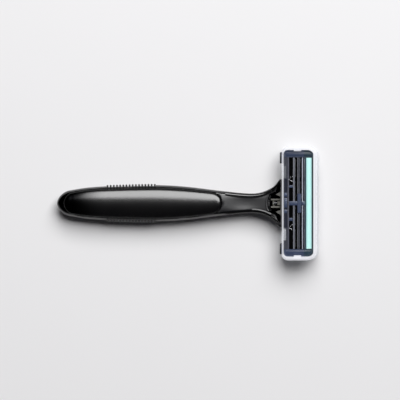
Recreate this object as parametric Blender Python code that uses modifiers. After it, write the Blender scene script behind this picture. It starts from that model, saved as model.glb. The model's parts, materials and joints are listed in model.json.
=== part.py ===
"""A cartridge razor lying on its back with its clear cover on.

Metres, +X from the tail to the head, +Z up. The bottom of the bounding box is at z = 0.
"""

import math

import bmesh
import bpy
from mathutils import Matrix, Vector

mm = 0.001

# Handle
gripLength = 66.0 * mm
neckLength = 17.6 * mm
forkLength = 5.8 * mm
gripWidth = 14.6 * mm
neckWidth = 7.9 * mm
forkWidth = 20.0 * mm
tailRound = 5.0 * mm
tailTip = 0.02 * mm
gripHeight = 8.8 * mm
neckHeight = 6.6 * mm
neckRise = 1.4 * mm
forkHeight = 8.4 * mm
rimWidth = 1.15 * mm
forkWall = 1.15 * mm
forkFloor = 1.0 * mm
neckDish = 1.0 * mm

# Grip inserts
coverSeat = 0.9 * mm
coverCrown = 2.5 * mm
coverStand = 0.12 * mm
coverStart = 2.6 * mm
coverEndRound = 4.2 * mm
padStart = 9.0 * mm
padLength = 42.0 * mm
padWidth = 7.4 * mm
padDepth = 1.2 * mm
padStand = 0.3 * mm
ribCount = 16
ribPitch = 1.26 * mm
ribThick = 0.66 * mm
ribStand = 0.38 * mm
ribStart = 19.9 * mm
ribHeight = 4.0 * mm
ribRoot = 0.8 * mm

# Release slide
slideLength = 7.0 * mm
slideWidth = 4.0 * mm
slideTravel = 2.4 * mm
slideStand = 0.5 * mm
slideThick = 1.5 * mm
tongueWidth = 1.5 * mm
tongueThick = 0.6 * mm
slideRidges = 5
slideRidgeWidth = 0.4 * mm
slideRidgeDepth = 0.3 * mm
slideCorner = 1.2 * mm
stemStart = 2.5 * mm
stemLength = 2.5 * mm
tongueReach = 1.6 * mm
releaseSpringLength = 4.2 * mm
releaseSpringRadius = 0.5 * mm
releaseSpringTurns = 6

# Dock, plunger and pivot
recessSetback = 1.2 * mm
recessRound = 1.5 * mm
dockSetback = 0.8 * mm
dockEndWall = 0.4 * mm
railSpare = 0.4 * mm
railThick = 0.85 * mm
railTop = 4.0 * mm
plungerWidth = 1.5 * mm
plungerHeight = 1.5 * mm
plungerLength = 3.4 * mm
plungerTravel = 0.85 * mm
plungerChamfer = 0.3 * mm
stemRadius = 0.32 * mm
springWire = 0.2 * mm
springTurns = 5
pivotHeight = 4.2 * mm
pivotSetback = 3.1 * mm
pinRadius = 0.7 * mm
camDrop = 1.3 * mm
camRadius = 0.9 * mm
yokeWidth = 19.2 * mm
yokeBar = 0.9 * mm
armThick = 1.2 * mm
armWall = 0.38 * mm
lugThick = 1.4 * mm
pinOverhang = 0.2 * mm
prongReach = 1.9 * mm
prongMiddle = 3.5 * mm
prongNear = 2.5 * mm
prongFar = 4.9 * mm
prongStand = 0.4 * mm

# Cartridge
cartridgeWidth = 42.6 * mm
cartridgeHeight = 3.7 * mm
frontCorner = 2.8 * mm
rearCorner = 1.3 * mm
endWall = 2.9 * mm
guardInset = 0.1 * mm
guardWidth = 1.36 * mm
guardDepth = 1.1 * mm
guardFins = 4
guardFinHeight = 0.25 * mm
guardLedge = 0.64 * mm
windowFloor = 0.6 * mm
bridgeDrop = 1.3 * mm
bridgeWidth = 1.6 * mm
rinseRows = 4
rinseLength = 7.2 * mm
rinseInset = 0.25 * mm
bladeCount = 3
bladeLead = 1.65 * mm
bladePitch = 1.78 * mm
bladeTail = 1.09 * mm
bladeWidth = 1.05 * mm
bladeThick = 0.12 * mm
bladeHone = 0.35 * mm
bladeTilt = math.radians(22)
supportThick = 0.25 * mm
stripBar = 0.6 * mm
stripWidth = 2.5 * mm
stripDepth = 1.1 * mm
stripStand = 0.3 * mm
frontEdge = 0.7 * mm
tabInset = 3.1 * mm
tabLength = 4.4 * mm
tabStand = 1.0 * mm
tabRise = 1.0 * mm
tabThick = 1.2 * mm
clipLength = 1.5 * mm
clipWidth = 7.6 * mm
clipThick = 0.3 * mm
clipLegWidth = 1.4 * mm

# Clear cover
coverWall = 0.5 * mm
coverRearGap = 0.25 * mm
coverEndGap = 1.0 * mm
coverFrontGap = 0.35 * mm
coverFlare = 1.35 * mm
coverRim = 0.6 * mm
coverRoof = 2.6 * mm
coverRoofRound = 0.9 * mm
coverRearCorner = 2.4 * mm
coverFrontCorner = 4.0 * mm
rearStopNear = 10.2 * mm
rearStopFar = 14.8 * mm
rearStopDepth = 1.6 * mm
endStopSetback = 4.0 * mm
endStopLength = 2.9 * mm
endStopDepth = 1.9 * mm

# Clearances
seatGap = 0.15 * mm
slideGap = 0.2 * mm
dockGap = 0.3 * mm
pinGap = 0.12 * mm

railGap = plungerWidth + 2 * railSpare
armRadius = pinRadius + pinGap + armWall
windowWidth = cartridgeWidth - 2 * endWall
windowStart = guardInset + guardWidth + guardLedge
bladeFirst = windowStart + bladeLead
windowLength = bladeLead + (bladeCount - 1) * bladePitch + bladeTail
stripStart = windowStart + windowLength + stripBar
stripLength = windowWidth - 2 * slideGap
cartridgeLength = stripStart + stripWidth + frontEdge

handleLength = gripLength + neckLength + forkLength
yokeRear = handleLength + seatGap
cartridgeRear = yokeRear + yokeBar + 0.25 * mm
coverRear = cartridgeRear - coverRearGap - coverWall
coverFront = cartridgeRear + cartridgeLength + coverFrontGap + coverFlare + coverWall
tailX = -coverFront / 2


def fromTail(distance):
    return tailX + distance


pivotX = fromTail(yokeRear + pivotSetback)
cartridgeX = fromTail(cartridgeRear)
cartridgeBottom = pivotHeight + armRadius + dockGap
cartridgeTop = cartridgeBottom + cartridgeHeight
plungerZ = pivotHeight - camDrop
coverTop = cartridgeTop + coverRoof
tongueZ = railTop + slideGap


def clearScene():
    for item in list(bpy.data.objects):
        bpy.data.objects.remove(item)


def makeCollection(name):
    group = bpy.data.collections.new(name)
    bpy.context.scene.collection.children.link(group)
    return group


clearScene()
parts = makeCollection("cartridge_razor")
cutters = makeCollection("cutters")

finishes = {
    "handle_black": ((0.030, 0.030, 0.034), 0.42, 0.0),
    "grip_black": ((0.012, 0.012, 0.014), 0.28, 0.0),
    "grip_rubber": ((0.020, 0.020, 0.022), 0.80, 0.0),
    "mechanism_grey": ((0.085, 0.082, 0.070), 0.50, 0.0),
    "yoke_black": ((0.014, 0.014, 0.016), 0.45, 0.0),
    "spring_steel": ((0.55, 0.56, 0.58), 0.30, 1.0),
    "blade_steel": ((0.42, 0.45, 0.50), 0.25, 1.0),
    "cartridge_navy": ((0.030, 0.040, 0.075), 0.45, 0.0),
    "guard_rubber": ((0.035, 0.045, 0.080), 0.75, 0.0),
    "strip_mint": ((0.52, 0.92, 0.84), 0.55, 0.0),
    "cover_clear": ((0.80, 0.84, 0.87), 0.10, 0.0),
}


def makeMaterial(slot):
    color, roughness, metallic = finishes[slot]
    material = bpy.data.materials.new(slot)
    material.use_nodes = True
    shader = material.node_tree.nodes["Principled BSDF"]
    shader.inputs["Base Color"].default_value = (*color, 1.0)
    shader.inputs["Roughness"].default_value = roughness
    shader.inputs["Metallic"].default_value = metallic
    if slot == "cover_clear":
        shader.inputs["Transmission Weight"].default_value = 0.9
    return material


materials = {slot: makeMaterial(slot) for slot in finishes}


def addMesh(name, mesh, slot=None):
    item = bpy.data.objects.new(name, mesh)
    if slot:
        mesh.materials.append(materials[slot])
        parts.objects.link(item)
    else:
        cutters.objects.link(item)
        item.hide_render = True
        item.display_type = "WIRE"
    return item


def finishMesh(form, name, slot):
    bmesh.ops.recalc_face_normals(form, faces=form.faces)
    if form.calc_volume(signed=True) < 0:
        bmesh.ops.reverse_faces(form, faces=form.faces)
    mesh = bpy.data.meshes.new(name)
    form.to_mesh(mesh)
    form.free()
    mesh.shade_smooth()
    mesh.set_sharp_from_angle(angle=math.radians(32))
    return addMesh(name, mesh, slot)


def loft(name, loops, slot=None):
    """Skin equal loops of points one after another, closed at both ends."""
    form = bmesh.new()
    rings = [[form.verts.new(point) for point in loop] for loop in loops]
    count = len(rings[0])
    for near, far in zip(rings, rings[1:]):
        for i in range(count):
            j = (i + 1) % count
            form.faces.new((near[i], near[j], far[j], far[i]))
    form.faces.new(rings[0])
    form.faces.new(rings[-1])
    return finishMesh(form, name, slot)


planes = {
    "Z": Matrix(((1, 0, 0), (0, 1, 0), (0, 0, 1))),
    "Y": Matrix(((1, 0, 0), (0, 0, -1), (0, 1, 0))),
}
alongNormal = {"Z": Vector((0, 0, 1)), "Y": Vector((0, 1, 0))}


def prism(name, outlines, low, high, slot=None, normal="Z"):
    """A flat outline, with any holes after it, given thickness from low to high."""
    curve = bpy.data.curves.new(name, "CURVE")
    curve.dimensions = "2D"
    curve.fill_mode = "BOTH"
    curve.extrude = (high - low) / 2
    for outline in outlines:
        spline = curve.splines.new("POLY")
        spline.points.add(len(outline) - 1)
        for point, (u, v) in zip(spline.points, outline):
            point.co = (u, v, 0, 1)
        spline.use_cyclic_u = True
    shape = bpy.data.objects.new(name, curve)
    cutters.objects.link(shape)
    mesh = meshOf(shape)
    turn = planes[normal].to_4x4()
    shift = Matrix.Translation(alongNormal[normal] * (low + high) / 2)
    mesh.transform(shift @ turn)
    form = bmesh.new()
    form.from_mesh(mesh)
    bpy.data.meshes.remove(mesh)
    bmesh.ops.remove_doubles(form, verts=form.verts, dist=1e-7)
    return finishMesh(form, name, slot)


def meshOf(shape):
    """The mesh of a curve object, which is then removed."""
    bpy.context.view_layer.update()
    graph = bpy.context.evaluated_depsgraph_get()
    mesh = bpy.data.meshes.new_from_object(shape.evaluated_get(graph))
    bpy.data.objects.remove(shape)
    return mesh


def box(name, low, high, slot=None):
    form = bmesh.new()
    bmesh.ops.create_cube(form, size=1.0)
    size = [b - a for a, b in zip(low, high)]
    middle = [(a + b) / 2 for a, b in zip(low, high)]
    bmesh.ops.scale(form, vec=size, verts=form.verts)
    bmesh.ops.translate(form, vec=middle, verts=form.verts)
    return finishMesh(form, name, slot)


def rod(name, start, end, radius, slot=None, segments=20):
    form = bmesh.new()
    start = Vector(start)
    end = Vector(end)
    length = (end - start).length
    bmesh.ops.create_cone(
        form, cap_ends=True, segments=segments, radius1=radius, radius2=radius, depth=length
    )
    turn = (end - start).to_track_quat("Z", "Y").to_matrix().to_4x4()
    bmesh.ops.transform(form, matrix=Matrix.Translation((start + end) / 2) @ turn, verts=form.verts)
    return finishMesh(form, name, slot)


def coil(name, start, length, radius, turns, slot):
    """A compression spring along +X with a flat turn at each end."""
    curve = bpy.data.curves.new(name, "CURVE")
    curve.dimensions = "3D"
    curve.bevel_depth = springWire / 2
    curve.bevel_resolution = 2
    curve.use_fill_caps = True
    steps = 14
    count = int(turns * steps)
    spline = curve.splines.new("POLY")
    spline.points.add(count)
    endPitch = springWire * 1.25
    active = turns - 2
    pitch = (length - springWire - 2 * endPitch) / active
    for i, point in enumerate(spline.points):
        turn = i / steps
        near = min(turn, 1.0) * endPitch
        middle = min(max(turn - 1.0, 0.0), active) * pitch
        far = max(turn - 1.0 - active, 0.0) * endPitch
        angle = turn * math.tau
        x = start.x + springWire / 2 + near + middle + far
        y = start.y + radius * math.cos(angle)
        z = start.z + radius * math.sin(angle)
        point.co = (x, y, z, 1)
    shape = bpy.data.objects.new(name, curve)
    cutters.objects.link(shape)
    mesh = meshOf(shape)
    form = bmesh.new()
    form.from_mesh(mesh)
    bpy.data.meshes.remove(mesh)
    bmesh.ops.remove_doubles(form, verts=form.verts, dist=1e-7)
    return finishMesh(form, name, slot)


def combine(target, tool, operation="DIFFERENCE"):
    cut = target.modifiers.new(operation.lower(), "BOOLEAN")
    cut.operation = operation
    cut.solver = "EXACT"
    cut.object = tool


def roundEdges(item, width, segments=2, angle=35):
    bevel = item.modifiers.new("round", "BEVEL")
    bevel.width = width
    bevel.segments = segments
    bevel.limit_method = "ANGLE"
    bevel.angle_limit = math.radians(angle)


def arc(center, radius, start, end, steps):
    """Points on a circle from one angle to another, in degrees."""
    points = []
    for i in range(steps + 1):
        angle = math.radians(start + (end - start) * i / steps)
        points.append((center[0] + radius * math.cos(angle), center[1] + radius * math.sin(angle)))
    return points


def roundedOutline(x0, x1, halfY, rear, front, steps=6):
    """A rectangle about y = 0 whose rear and front corners have their own radii."""
    points = arc((x1 - front, halfY - front), front, 0, 90, steps)
    points += arc((x0 + rear, halfY - rear), rear, 90, 180, steps)
    points += arc((x0 + rear, rear - halfY), rear, 180, 270, steps)
    points += arc((x1 - front, front - halfY), front, 270, 360, steps)
    return points


def rectangle(x0, x1, y0, y1):
    return [(x0, y0), (x1, y0), (x1, y1), (x0, y1)]


def mirrored(outline):
    return [(x, -y) for x, y in reversed(outline)]


def smooth(anchors, x):
    """A smooth curve through (x, value) anchors, flat beyond both ends."""
    if x <= anchors[0][0]:
        return anchors[0][1]
    if x >= anchors[-1][0]:
        return anchors[-1][1]
    last = len(anchors) - 1
    i = max(k for k in range(last) if anchors[k][0] <= x)

    def slope(k):
        low = anchors[max(k - 1, 0)]
        high = anchors[min(k + 1, last)]
        return (high[1] - low[1]) / (high[0] - low[0])

    x0, v0 = anchors[i]
    x1, v1 = anchors[i + 1]
    span = x1 - x0
    t = (x - x0) / span
    rise = (2 * t**3 - 3 * t**2 + 1) * v0 + (3 * t**2 - 2 * t**3) * v1
    lean = (t**3 - 2 * t**2 + t) * slope(i) + (t**3 - t**2) * slope(i + 1)
    return rise + span * lean


neckEnd = gripLength + neckLength

widthAnchors = [
    (0.0, 0.29 * gripWidth),
    (0.076 * gripLength, 0.355 * gripWidth),
    (0.19 * gripLength, 0.436 * gripWidth),
    (0.36 * gripLength, 0.478 * gripWidth),
    (0.62 * gripLength, 0.5 * gripWidth),
    (0.80 * gripLength, 0.45 * gripWidth),
    (gripLength, 0.34 * gripWidth),
    (gripLength + 0.62 * neckLength, 0.5 * neckWidth),
    (gripLength + 0.90 * neckLength, 0.56 * neckWidth),
    (neckEnd + 0.55 * forkLength, 0.34 * forkWidth),
    (handleLength, 0.5 * forkWidth),
]
topAnchors = [
    (0.0, 0.86 * gripHeight),
    (0.15 * gripLength, 0.985 * gripHeight),
    (0.55 * gripLength, gripHeight),
    (gripLength, 0.95 * gripHeight),
    (gripLength + 0.55 * neckLength, neckRise + neckHeight),
    (handleLength, forkHeight),
]
bottomAnchors = [
    (0.0, 0.22 * gripHeight),
    (0.13 * gripLength, padStand),
    (0.80 * gripLength, padStand),
    (gripLength + 0.45 * neckLength, neckRise),
    (neckEnd, 0.0),
    (handleLength, 0.0),
]


squareAnchors = [
    (0.0, 2.7),
    (gripLength, 2.9),
    (neckEnd, 3.4),
    (neckEnd + 0.5 * forkLength, 6.5),
    (handleLength, 9.0),
]


def halfWidth(x):
    x = max(x, tailTip)
    width = smooth(widthAnchors, x)
    if x < tailRound:
        width *= math.sqrt(max(1 - (1 - x / tailRound) ** 2, 0.0))
    return width


def dishDepth(x):
    """How far the top of the neck is scooped out between the grip and the fork."""
    middle = gripLength + 0.55 * neckLength
    reach = 0.62 * neckLength
    away = abs(x - middle) / reach
    return neckDish * (1 - away**2) ** 2 if away < 1 else 0.0


def depths(x):
    """The middle height of the handle's section and half its thickness."""
    top = smooth(topAnchors, x)
    bottom = max(smooth(bottomAnchors, x), 0.0)
    rise = (top - bottom) / 2
    if x < tailRound:
        rise *= 0.25 + 0.75 * math.sqrt(1 - (1 - max(x, tailTip) / tailRound) ** 2)
    return (top + bottom) / 2, rise


def topSurface(x, y):
    """The height of the handle's upper skin, away from the neck's dish."""
    middle, rise = depths(x)
    square = smooth(squareAnchors, x)
    share = min(abs(y) / halfWidth(x), 1.0)
    return middle + rise * (1 - share**square) ** (1 / square)


def section(x, points=40):
    """The handle's outline at one distance from the tail, as a squared oval."""
    half = halfWidth(x)
    middle, rise = depths(x)
    power = 2 / smooth(squareAnchors, x)
    loop = []
    for i in range(points):
        angle = math.tau * (i + 0.5) / points
        c = math.cos(angle)
        s = math.sin(angle)
        y = half * math.copysign(abs(c) ** power, c)
        z = middle + rise * math.copysign(abs(s) ** power, s)
        if s > 0:
            z -= dishDepth(x) * max(1 - (y / (0.8 * half)) ** 2, 0.0)
        loop.append((fromTail(x), y, z))
    return loop


def stations():
    """Distances from the tail, closer together where the outline turns quickly."""
    tail = [tailRound * (1 - math.cos(math.pi / 2 * i / 9)) for i in range(10)]
    grip = [tailRound + (gripLength - tailRound) * i / 24 for i in range(1, 25)]
    neck = [gripLength + neckLength * i / 12 for i in range(1, 13)]
    fork = [neckEnd + forkLength * i / 10 for i in range(1, 11)]
    return tail + grip + neck + fork


# Grip cover: a crowned insert whose edge follows the handle's rim.
coverEnd = gripLength


def coverHalf(x, spare=0.0):
    """Half the width of the grip cover, or of its seat when spare is a clearance."""
    half = halfWidth(x) - rimWidth
    near = x - coverStart + spare
    far = coverEnd + spare - x
    for away, reach in ((near, 0.8 * coverEndRound), (far, coverEndRound)):
        if away < reach:
            half *= math.sqrt(max(1 - (1 - away / reach) ** 2, 0.0))
    return half + spare


def coverStations(spare):
    first = coverStart - spare
    last = coverEnd + spare
    turn = coverEndRound
    near = [first + turn * (1 - math.cos(math.pi / 2 * i / 7)) for i in range(8)]
    far = [last - turn * (1 - math.cos(math.pi / 2 * i / 7)) for i in reversed(range(8))]
    near[0] += 0.004 * turn
    far[-1] -= 0.004 * turn
    middle = [near[-1] + (far[0] - near[-1]) * i / 14 for i in range(1, 14)]
    return near + middle + far


def coverSection(x, spare, crown):
    """One slice of the grip cover: straight sides and an arched top."""
    half = coverHalf(x, spare)
    edge = topSurface(x, coverHalf(x)) + coverStand
    floor = edge - coverStand - coverSeat - spare
    fade = coverHalf(x) / (0.5 * gripWidth - rimWidth)
    loop = [(fromTail(x), half, floor), (fromTail(x), half, edge)]
    for i in range(1, 12):
        angle = math.pi * i / 12
        z = edge + crown * min(fade, 1.0) * math.sin(angle) ** 0.9
        loop.append((fromTail(x), half * math.cos(angle), z))
    loop += [(fromTail(x), -half, edge), (fromTail(x), -half, floor)]
    return loop


def makeGripCover():
    loops = [coverSection(x, 0.0, coverCrown) for x in coverStations(0.0)]
    return loft("grip_cover", loops, "grip_black")


def makeCoverSeat():
    """The cutter that leaves the seat for the grip cover."""
    loops = [coverSection(x, seatGap, 2 * coverCrown) for x in coverStations(seatGap)]
    return loft("cover_seat", loops)


def padOutline(spare):
    x0 = fromTail(padStart) - spare
    x1 = fromTail(padStart + padLength) + spare
    radius = padWidth / 2 - 0.2 * mm
    return roundedOutline(x0, x1, padWidth / 2 + spare, radius, radius, steps=8)


def makeBackPad():
    pad = prism("back_grip", [padOutline(0.0)], 0.0, padStand + padDepth, "grip_rubber")
    roundEdges(pad, 0.15 * mm)
    return pad


def combOutline():
    """A strip of ribs seen from above, on the +Y side of the handle."""
    outline = []
    first = ribStart
    last = ribStart + (ribCount - 1) * ribPitch + ribThick
    for i in range(ribCount):
        x0 = ribStart + i * ribPitch
        x1 = x0 + ribThick
        rim = halfWidth((x0 + x1) / 2)
        base = rim - 0.25 * mm
        tip = rim + ribStand
        narrow = 0.18 * ribThick
        corners = ((x0, base), (x0 + narrow, tip), (x1 - narrow, tip), (x1, base))
        outline += [(fromTail(x), y) for x, y in corners]
    outline.append((fromTail(last), halfWidth(last) - ribRoot))
    outline.append((fromTail(first), halfWidth(first) - ribRoot))
    return outline


def ribMiddle():
    return 0.5 * gripHeight


def makeSideGrip(name, flip):
    outline = mirrored(combOutline()) if flip else combOutline()
    low = ribMiddle() - ribHeight / 2
    return prism(name, [outline], low, low + ribHeight, "grip_rubber")


def makeSideSlot(name, flip):
    x0 = ribStart - seatGap
    x1 = ribStart + (ribCount - 1) * ribPitch + ribThick + seatGap
    outline = [
        (fromTail(x0), halfWidth(x0) - ribRoot - seatGap),
        (fromTail(x1), halfWidth(x1) - ribRoot - seatGap),
        (fromTail(x1), gripWidth),
        (fromTail(x0), gripWidth),
    ]
    outline = mirrored(outline) if flip else outline
    low = ribMiddle() - ribHeight / 2 - seatGap
    return prism(name, [outline], low, low + ribHeight + 2 * seatGap)


# Fork recess: its back is an arc, its sides run inside the flare, and it opens to +X.
recessBack = neckEnd + recessSetback


def recessOutline():
    """Half an oval behind, then the inner sides of the fork's walls."""
    back = recessBack + recessRound
    half = halfWidth(back) - forkWall
    upper = []
    for i in range(1, 8):
        angle = math.pi / 2 * i / 7
        upper.append((fromTail(back - recessRound * math.cos(angle)), half * math.sin(angle)))
    for i in range(1, 9):
        x = back + (handleLength - back) * i / 8
        upper.append((fromTail(x), halfWidth(x) - forkWall))
    upper.append((fromTail(handleLength + 2 * mm), halfWidth(handleLength) - forkWall))
    return upper[::-1] + [(fromTail(recessBack), 0.0)] + [(x, -y) for x, y in upper]


def makeRecess():
    return prism("fork_recess", [recessOutline()], forkFloor, 2 * forkHeight)


# Release slide on the back of the neck, with a tongue that reaches the dock.
slideStart = gripLength + 1.0 * mm
slideTop = neckRise + slideThick
tongueEnd = neckEnd + tongueReach
stemX = fromTail(slideStart) + stemStart


def makeReleaseSlide():
    x0 = fromTail(slideStart)
    x1 = x0 + slideLength
    half = slideWidth / 2
    low = neckRise - slideStand
    plate = roundedOutline(x0, x1, half, slideCorner, slideCorner, steps=4)
    slide = prism("release_slide", [plate], low, slideTop, "yoke_black")
    foot = slideTop - 0.25 * slideThick
    tip = fromTail(tongueEnd)
    stem = [
        (stemX, foot),
        (stemX + stemLength, foot),
        (stemX + stemLength, tongueZ),
        (tip, tongueZ),
        (tip, tongueZ + tongueThick),
        (stemX, tongueZ + tongueThick),
    ]
    tongue = prism("tongue", [stem], -tongueWidth / 2, tongueWidth / 2, normal="Y")
    combine(slide, tongue, "UNION")
    reach = half - 0.5 * slideCorner
    top = low + slideRidgeDepth
    for i in range(slideRidges):
        x = x0 + slideLength * (i + 1) / (slideRidges + 1)
        near = (x - slideRidgeWidth / 2, -reach, low - mm)
        combine(slide, box(f"slide_groove_{i}", near, (x + slideRidgeWidth / 2, reach, top)))
    return slide


def makeSlidePocket():
    x0 = fromTail(slideStart) - slideGap
    x1 = x0 + slideLength + slideTravel + 2 * slideGap
    half = slideWidth / 2 + slideGap
    outline = roundedOutline(x0, x1, half, slideCorner, slideCorner, steps=4)
    return prism("slide_pocket", [outline], -mm, slideTop + slideGap)


def makeTongueChannel():
    x0 = stemX - slideGap - releaseSpringLength
    x1 = fromTail(recessBack + mm)
    half = tongueWidth / 2 + slideGap
    low = slideTop - slideGap
    high = tongueZ + tongueThick + slideGap
    return box("tongue_channel", (x0, -half, low), (x1, half, high))


def makeReleaseSpring():
    z = tongueZ + tongueThick / 2 - releaseSpringRadius / 2
    start = Vector((stemX - releaseSpringLength, 0, z))
    length = releaseSpringLength - slideGap
    return coil("release_spring", start, length, releaseSpringRadius, releaseSpringTurns, "spring_steel")


def makeHandle():
    handle = loft("handle_body", [section(x) for x in stations()], "handle_black")
    tools = [
        makeCoverSeat(),
        prism("pad_seat", [padOutline(seatGap)], -mm, padStand + padDepth + seatGap),
        makeSideSlot("side_slot_left", False),
        makeSideSlot("side_slot_right", True),
        makeRecess(),
        makeSlidePocket(),
        makeTongueChannel(),
    ]
    for tool in tools:
        combine(handle, tool)
    return handle


# Dock: two rails on a base, with the plunger and its spring between them.
dockRear = recessBack + dockSetback
dockFront = handleLength - seatGap


def makeDock():
    x0 = fromTail(dockRear)
    x1 = fromTail(dockFront)
    half = railGap / 2 + railThick
    low = forkFloor + seatGap
    dock = prism("dock_block", [rectangle(x0, x1, -half, half)], low, railTop, "mechanism_grey")
    trough = (x0 + dockEndWall, -railGap / 2, plungerZ - plungerHeight / 2 - slideGap)
    combine(dock, box("dock_trough", trough, (x1 + mm, railGap / 2, railTop + mm)))
    return dock


camX = pivotX - camRadius
plungerTip = camX - seatGap
plungerRear = plungerTip - plungerLength


def makePlunger():
    half = plungerWidth / 2
    low = plungerZ - plungerHeight / 2
    high = low + plungerHeight
    head = [
        (plungerRear, low),
        (plungerTip - plungerChamfer, low),
        (plungerTip, low + plungerChamfer),
        (plungerTip, high - plungerChamfer),
        (plungerTip - plungerChamfer, high),
        (plungerRear, high),
    ]
    plunger = prism("pivot_plunger", [head], -half, half, "mechanism_grey", normal="Y")
    stemEnd = fromTail(dockRear) + dockEndWall + plungerTravel + seatGap
    near = (stemEnd, 0, plungerZ)
    far = (plungerRear + plungerChamfer, 0, plungerZ)
    combine(plunger, rod("plunger_stem", near, far, stemRadius, segments=12), "UNION")
    return plunger


def makePlungerSpring():
    x0 = fromTail(dockRear) + dockEndWall + seatGap
    length = plungerRear - seatGap - x0
    radius = stemRadius + seatGap + springWire / 2
    return coil("plunger_spring", Vector((x0, 0, plungerZ)), length, radius, springTurns, "spring_steel")


# Yoke: the part of the cartridge that docks in the fork and carries the pivot.
yokeX = fromTail(yokeRear)
yokeLow = forkFloor + 0.2 * mm
yokeHigh = pivotHeight + 1.0 * mm
armY = yokeWidth / 2


def makeYoke():
    bar = prism(
        "yoke",
        [rectangle(yokeX, yokeX + yokeBar, -armY, armY)],
        yokeLow,
        yokeHigh,
        "yoke_black",
    )
    roundEdges(bar, 0.15 * mm)
    half = plungerWidth / 2 + slideGap
    low = plungerZ - plungerHeight / 2 - slideGap
    high = low + plungerHeight + 2 * slideGap
    combine(bar, box("plunger_hole", (yokeX - mm, -half, low), (yokeX + 2 * mm, half, high)))
    arm = [(yokeX + 0.4 * mm, pivotHeight - armRadius), (pivotX, pivotHeight - armRadius)]
    arm += arc((pivotX, pivotHeight), armRadius, -80, 80, 8)
    arm += [(pivotX, pivotHeight + armRadius), (yokeX + 0.4 * mm, pivotHeight + 0.85 * armRadius)]
    bore = arc((pivotX, pivotHeight), pinRadius + pinGap, 0, 345, 23)
    for side, sign in (("left", 1), ("right", -1)):
        low, high = sorted((sign * armY, sign * (armY - armThick)))
        combine(bar, prism(f"yoke_arm_{side}", [arm, bore], low, high, normal="Y"), "UNION")
        prong = [
            (yokeX - prongReach, sign * prongMiddle),
            (yokeX + yokeBar / 3, sign * prongNear),
            (yokeX + yokeBar / 3, sign * prongFar),
        ]
        wedge = prism(f"yoke_prong_{side}", [prong], yokeLow + prongStand, railTop + prongStand)
        combine(bar, wedge, "UNION")
    return bar


def makePivotPin(side, sign):
    inner = (pivotX, sign * (armY - armThick - pinOverhang), pivotHeight)
    outer = (pivotX, sign * (armY + slideGap + lugThick + pinOverhang), pivotHeight)
    pin = rod(f"pivot_pin_{side}", inner, outer, pinRadius, "spring_steel")
    roundEdges(pin, 0.12 * mm, 1, 60)
    return pin


# Cartridge
guardX = cartridgeX + guardInset
windowX = cartridgeX + windowStart
bridgeTop = cartridgeTop - bridgeDrop
tabMiddle = cartridgeWidth / 2 - tabInset


def makeFrame():
    front = cartridgeX + cartridgeLength
    half = cartridgeWidth / 2
    outer = roundedOutline(cartridgeX, front, half, rearCorner, frontCorner, steps=7)
    frame = prism("cartridge_frame", [outer], cartridgeBottom, cartridgeTop, "cartridge_navy")
    roundEdges(frame, 0.45 * mm, 3, 60)
    above = cartridgeTop + mm
    low = (cartridgeX - mm, -windowWidth / 2, cartridgeTop - guardDepth)
    combine(frame, box("guard_step", low, (guardX + guardWidth + seatGap, windowWidth / 2, above)))
    floor = cartridgeBottom + windowFloor
    far = windowX + windowLength
    for side, sign in (("left", 1), ("right", -1)):
        y0, y1 = sorted((sign * bridgeWidth / 2, sign * windowWidth / 2))
        combine(frame, box(f"window_{side}", (windowX, y0, floor), (far, y1, above)))
    low = (windowX, -bridgeWidth / 2 - seatGap, bridgeTop)
    combine(frame, box("bridge_cut", low, (far, bridgeWidth / 2 + seatGap, above)))
    stripX = cartridgeX + stripStart - seatGap
    half = stripLength / 2 + seatGap
    low = (stripX, -half, cartridgeTop - stripDepth - seatGap)
    combine(frame, box("strip_seat", low, (stripX + stripWidth + 2 * seatGap, half, above)))
    addRinseSlots(frame, floor)
    addLugs(frame)
    return frame


def addRinseSlots(frame, floor):
    """Slots through the window's floor, each row under one blade."""
    pitch = (windowWidth - bridgeWidth) / rinseRows
    for blade in range(bladeCount):
        x0 = bladeEdge(blade).x + rinseInset
        x1 = x0 + bladeWidth * math.cos(bladeTilt) - 0.5 * rinseInset
        for row in range(rinseRows):
            y = (row - (rinseRows - 1) / 2) * pitch
            y += math.copysign(bridgeWidth / 2, y)
            low = (x0, y - rinseLength / 2, cartridgeBottom - mm)
            combine(frame, box(f"rinse_slot_{blade}_{row}", low, (x1, y + rinseLength / 2, floor + mm)))


def addLugs(frame):
    """Pivot lugs, the cam that the plunger presses, and the rear tabs."""
    high = cartridgeBottom + 0.3 * mm
    radius = pinRadius + pinGap + 0.6 * mm
    lug = [(pivotX - radius, high), (pivotX - radius, pivotHeight)]
    lug += arc((pivotX, pivotHeight), radius, 190, 350, 8)
    lug += [(pivotX + radius, pivotHeight), (pivotX + radius, high)]
    bore = arc((pivotX, pivotHeight), pinRadius + pinGap, 0, 345, 23)
    for side, sign in (("left", 1), ("right", -1)):
        near = sign * (armY + slideGap)
        low, top = sorted((near, near + sign * lugThick))
        combine(frame, prism(f"pivot_lug_{side}", [lug, bore], low, top, normal="Y"), "UNION")
        low, top = sorted((sign * (tabMiddle - tabLength / 2), sign * (tabMiddle + tabLength / 2)))
        tab = box(
            f"rear_tab_{side}",
            (cartridgeX - tabStand, low, cartridgeBottom + tabRise),
            (cartridgeX + 0.5 * tabStand, top, cartridgeBottom + tabRise + tabThick),
        )
        combine(frame, tab, "UNION")
    cam = [(pivotX - camRadius, high), (pivotX - camRadius, plungerZ)]
    cam += arc((pivotX, plungerZ), camRadius, 190, 350, 8)
    cam += [(pivotX + camRadius, plungerZ), (pivotX + camRadius, high)]
    combine(frame, prism("cam", [cam], -plungerWidth / 2, plungerWidth / 2, normal="Y"), "UNION")


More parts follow.
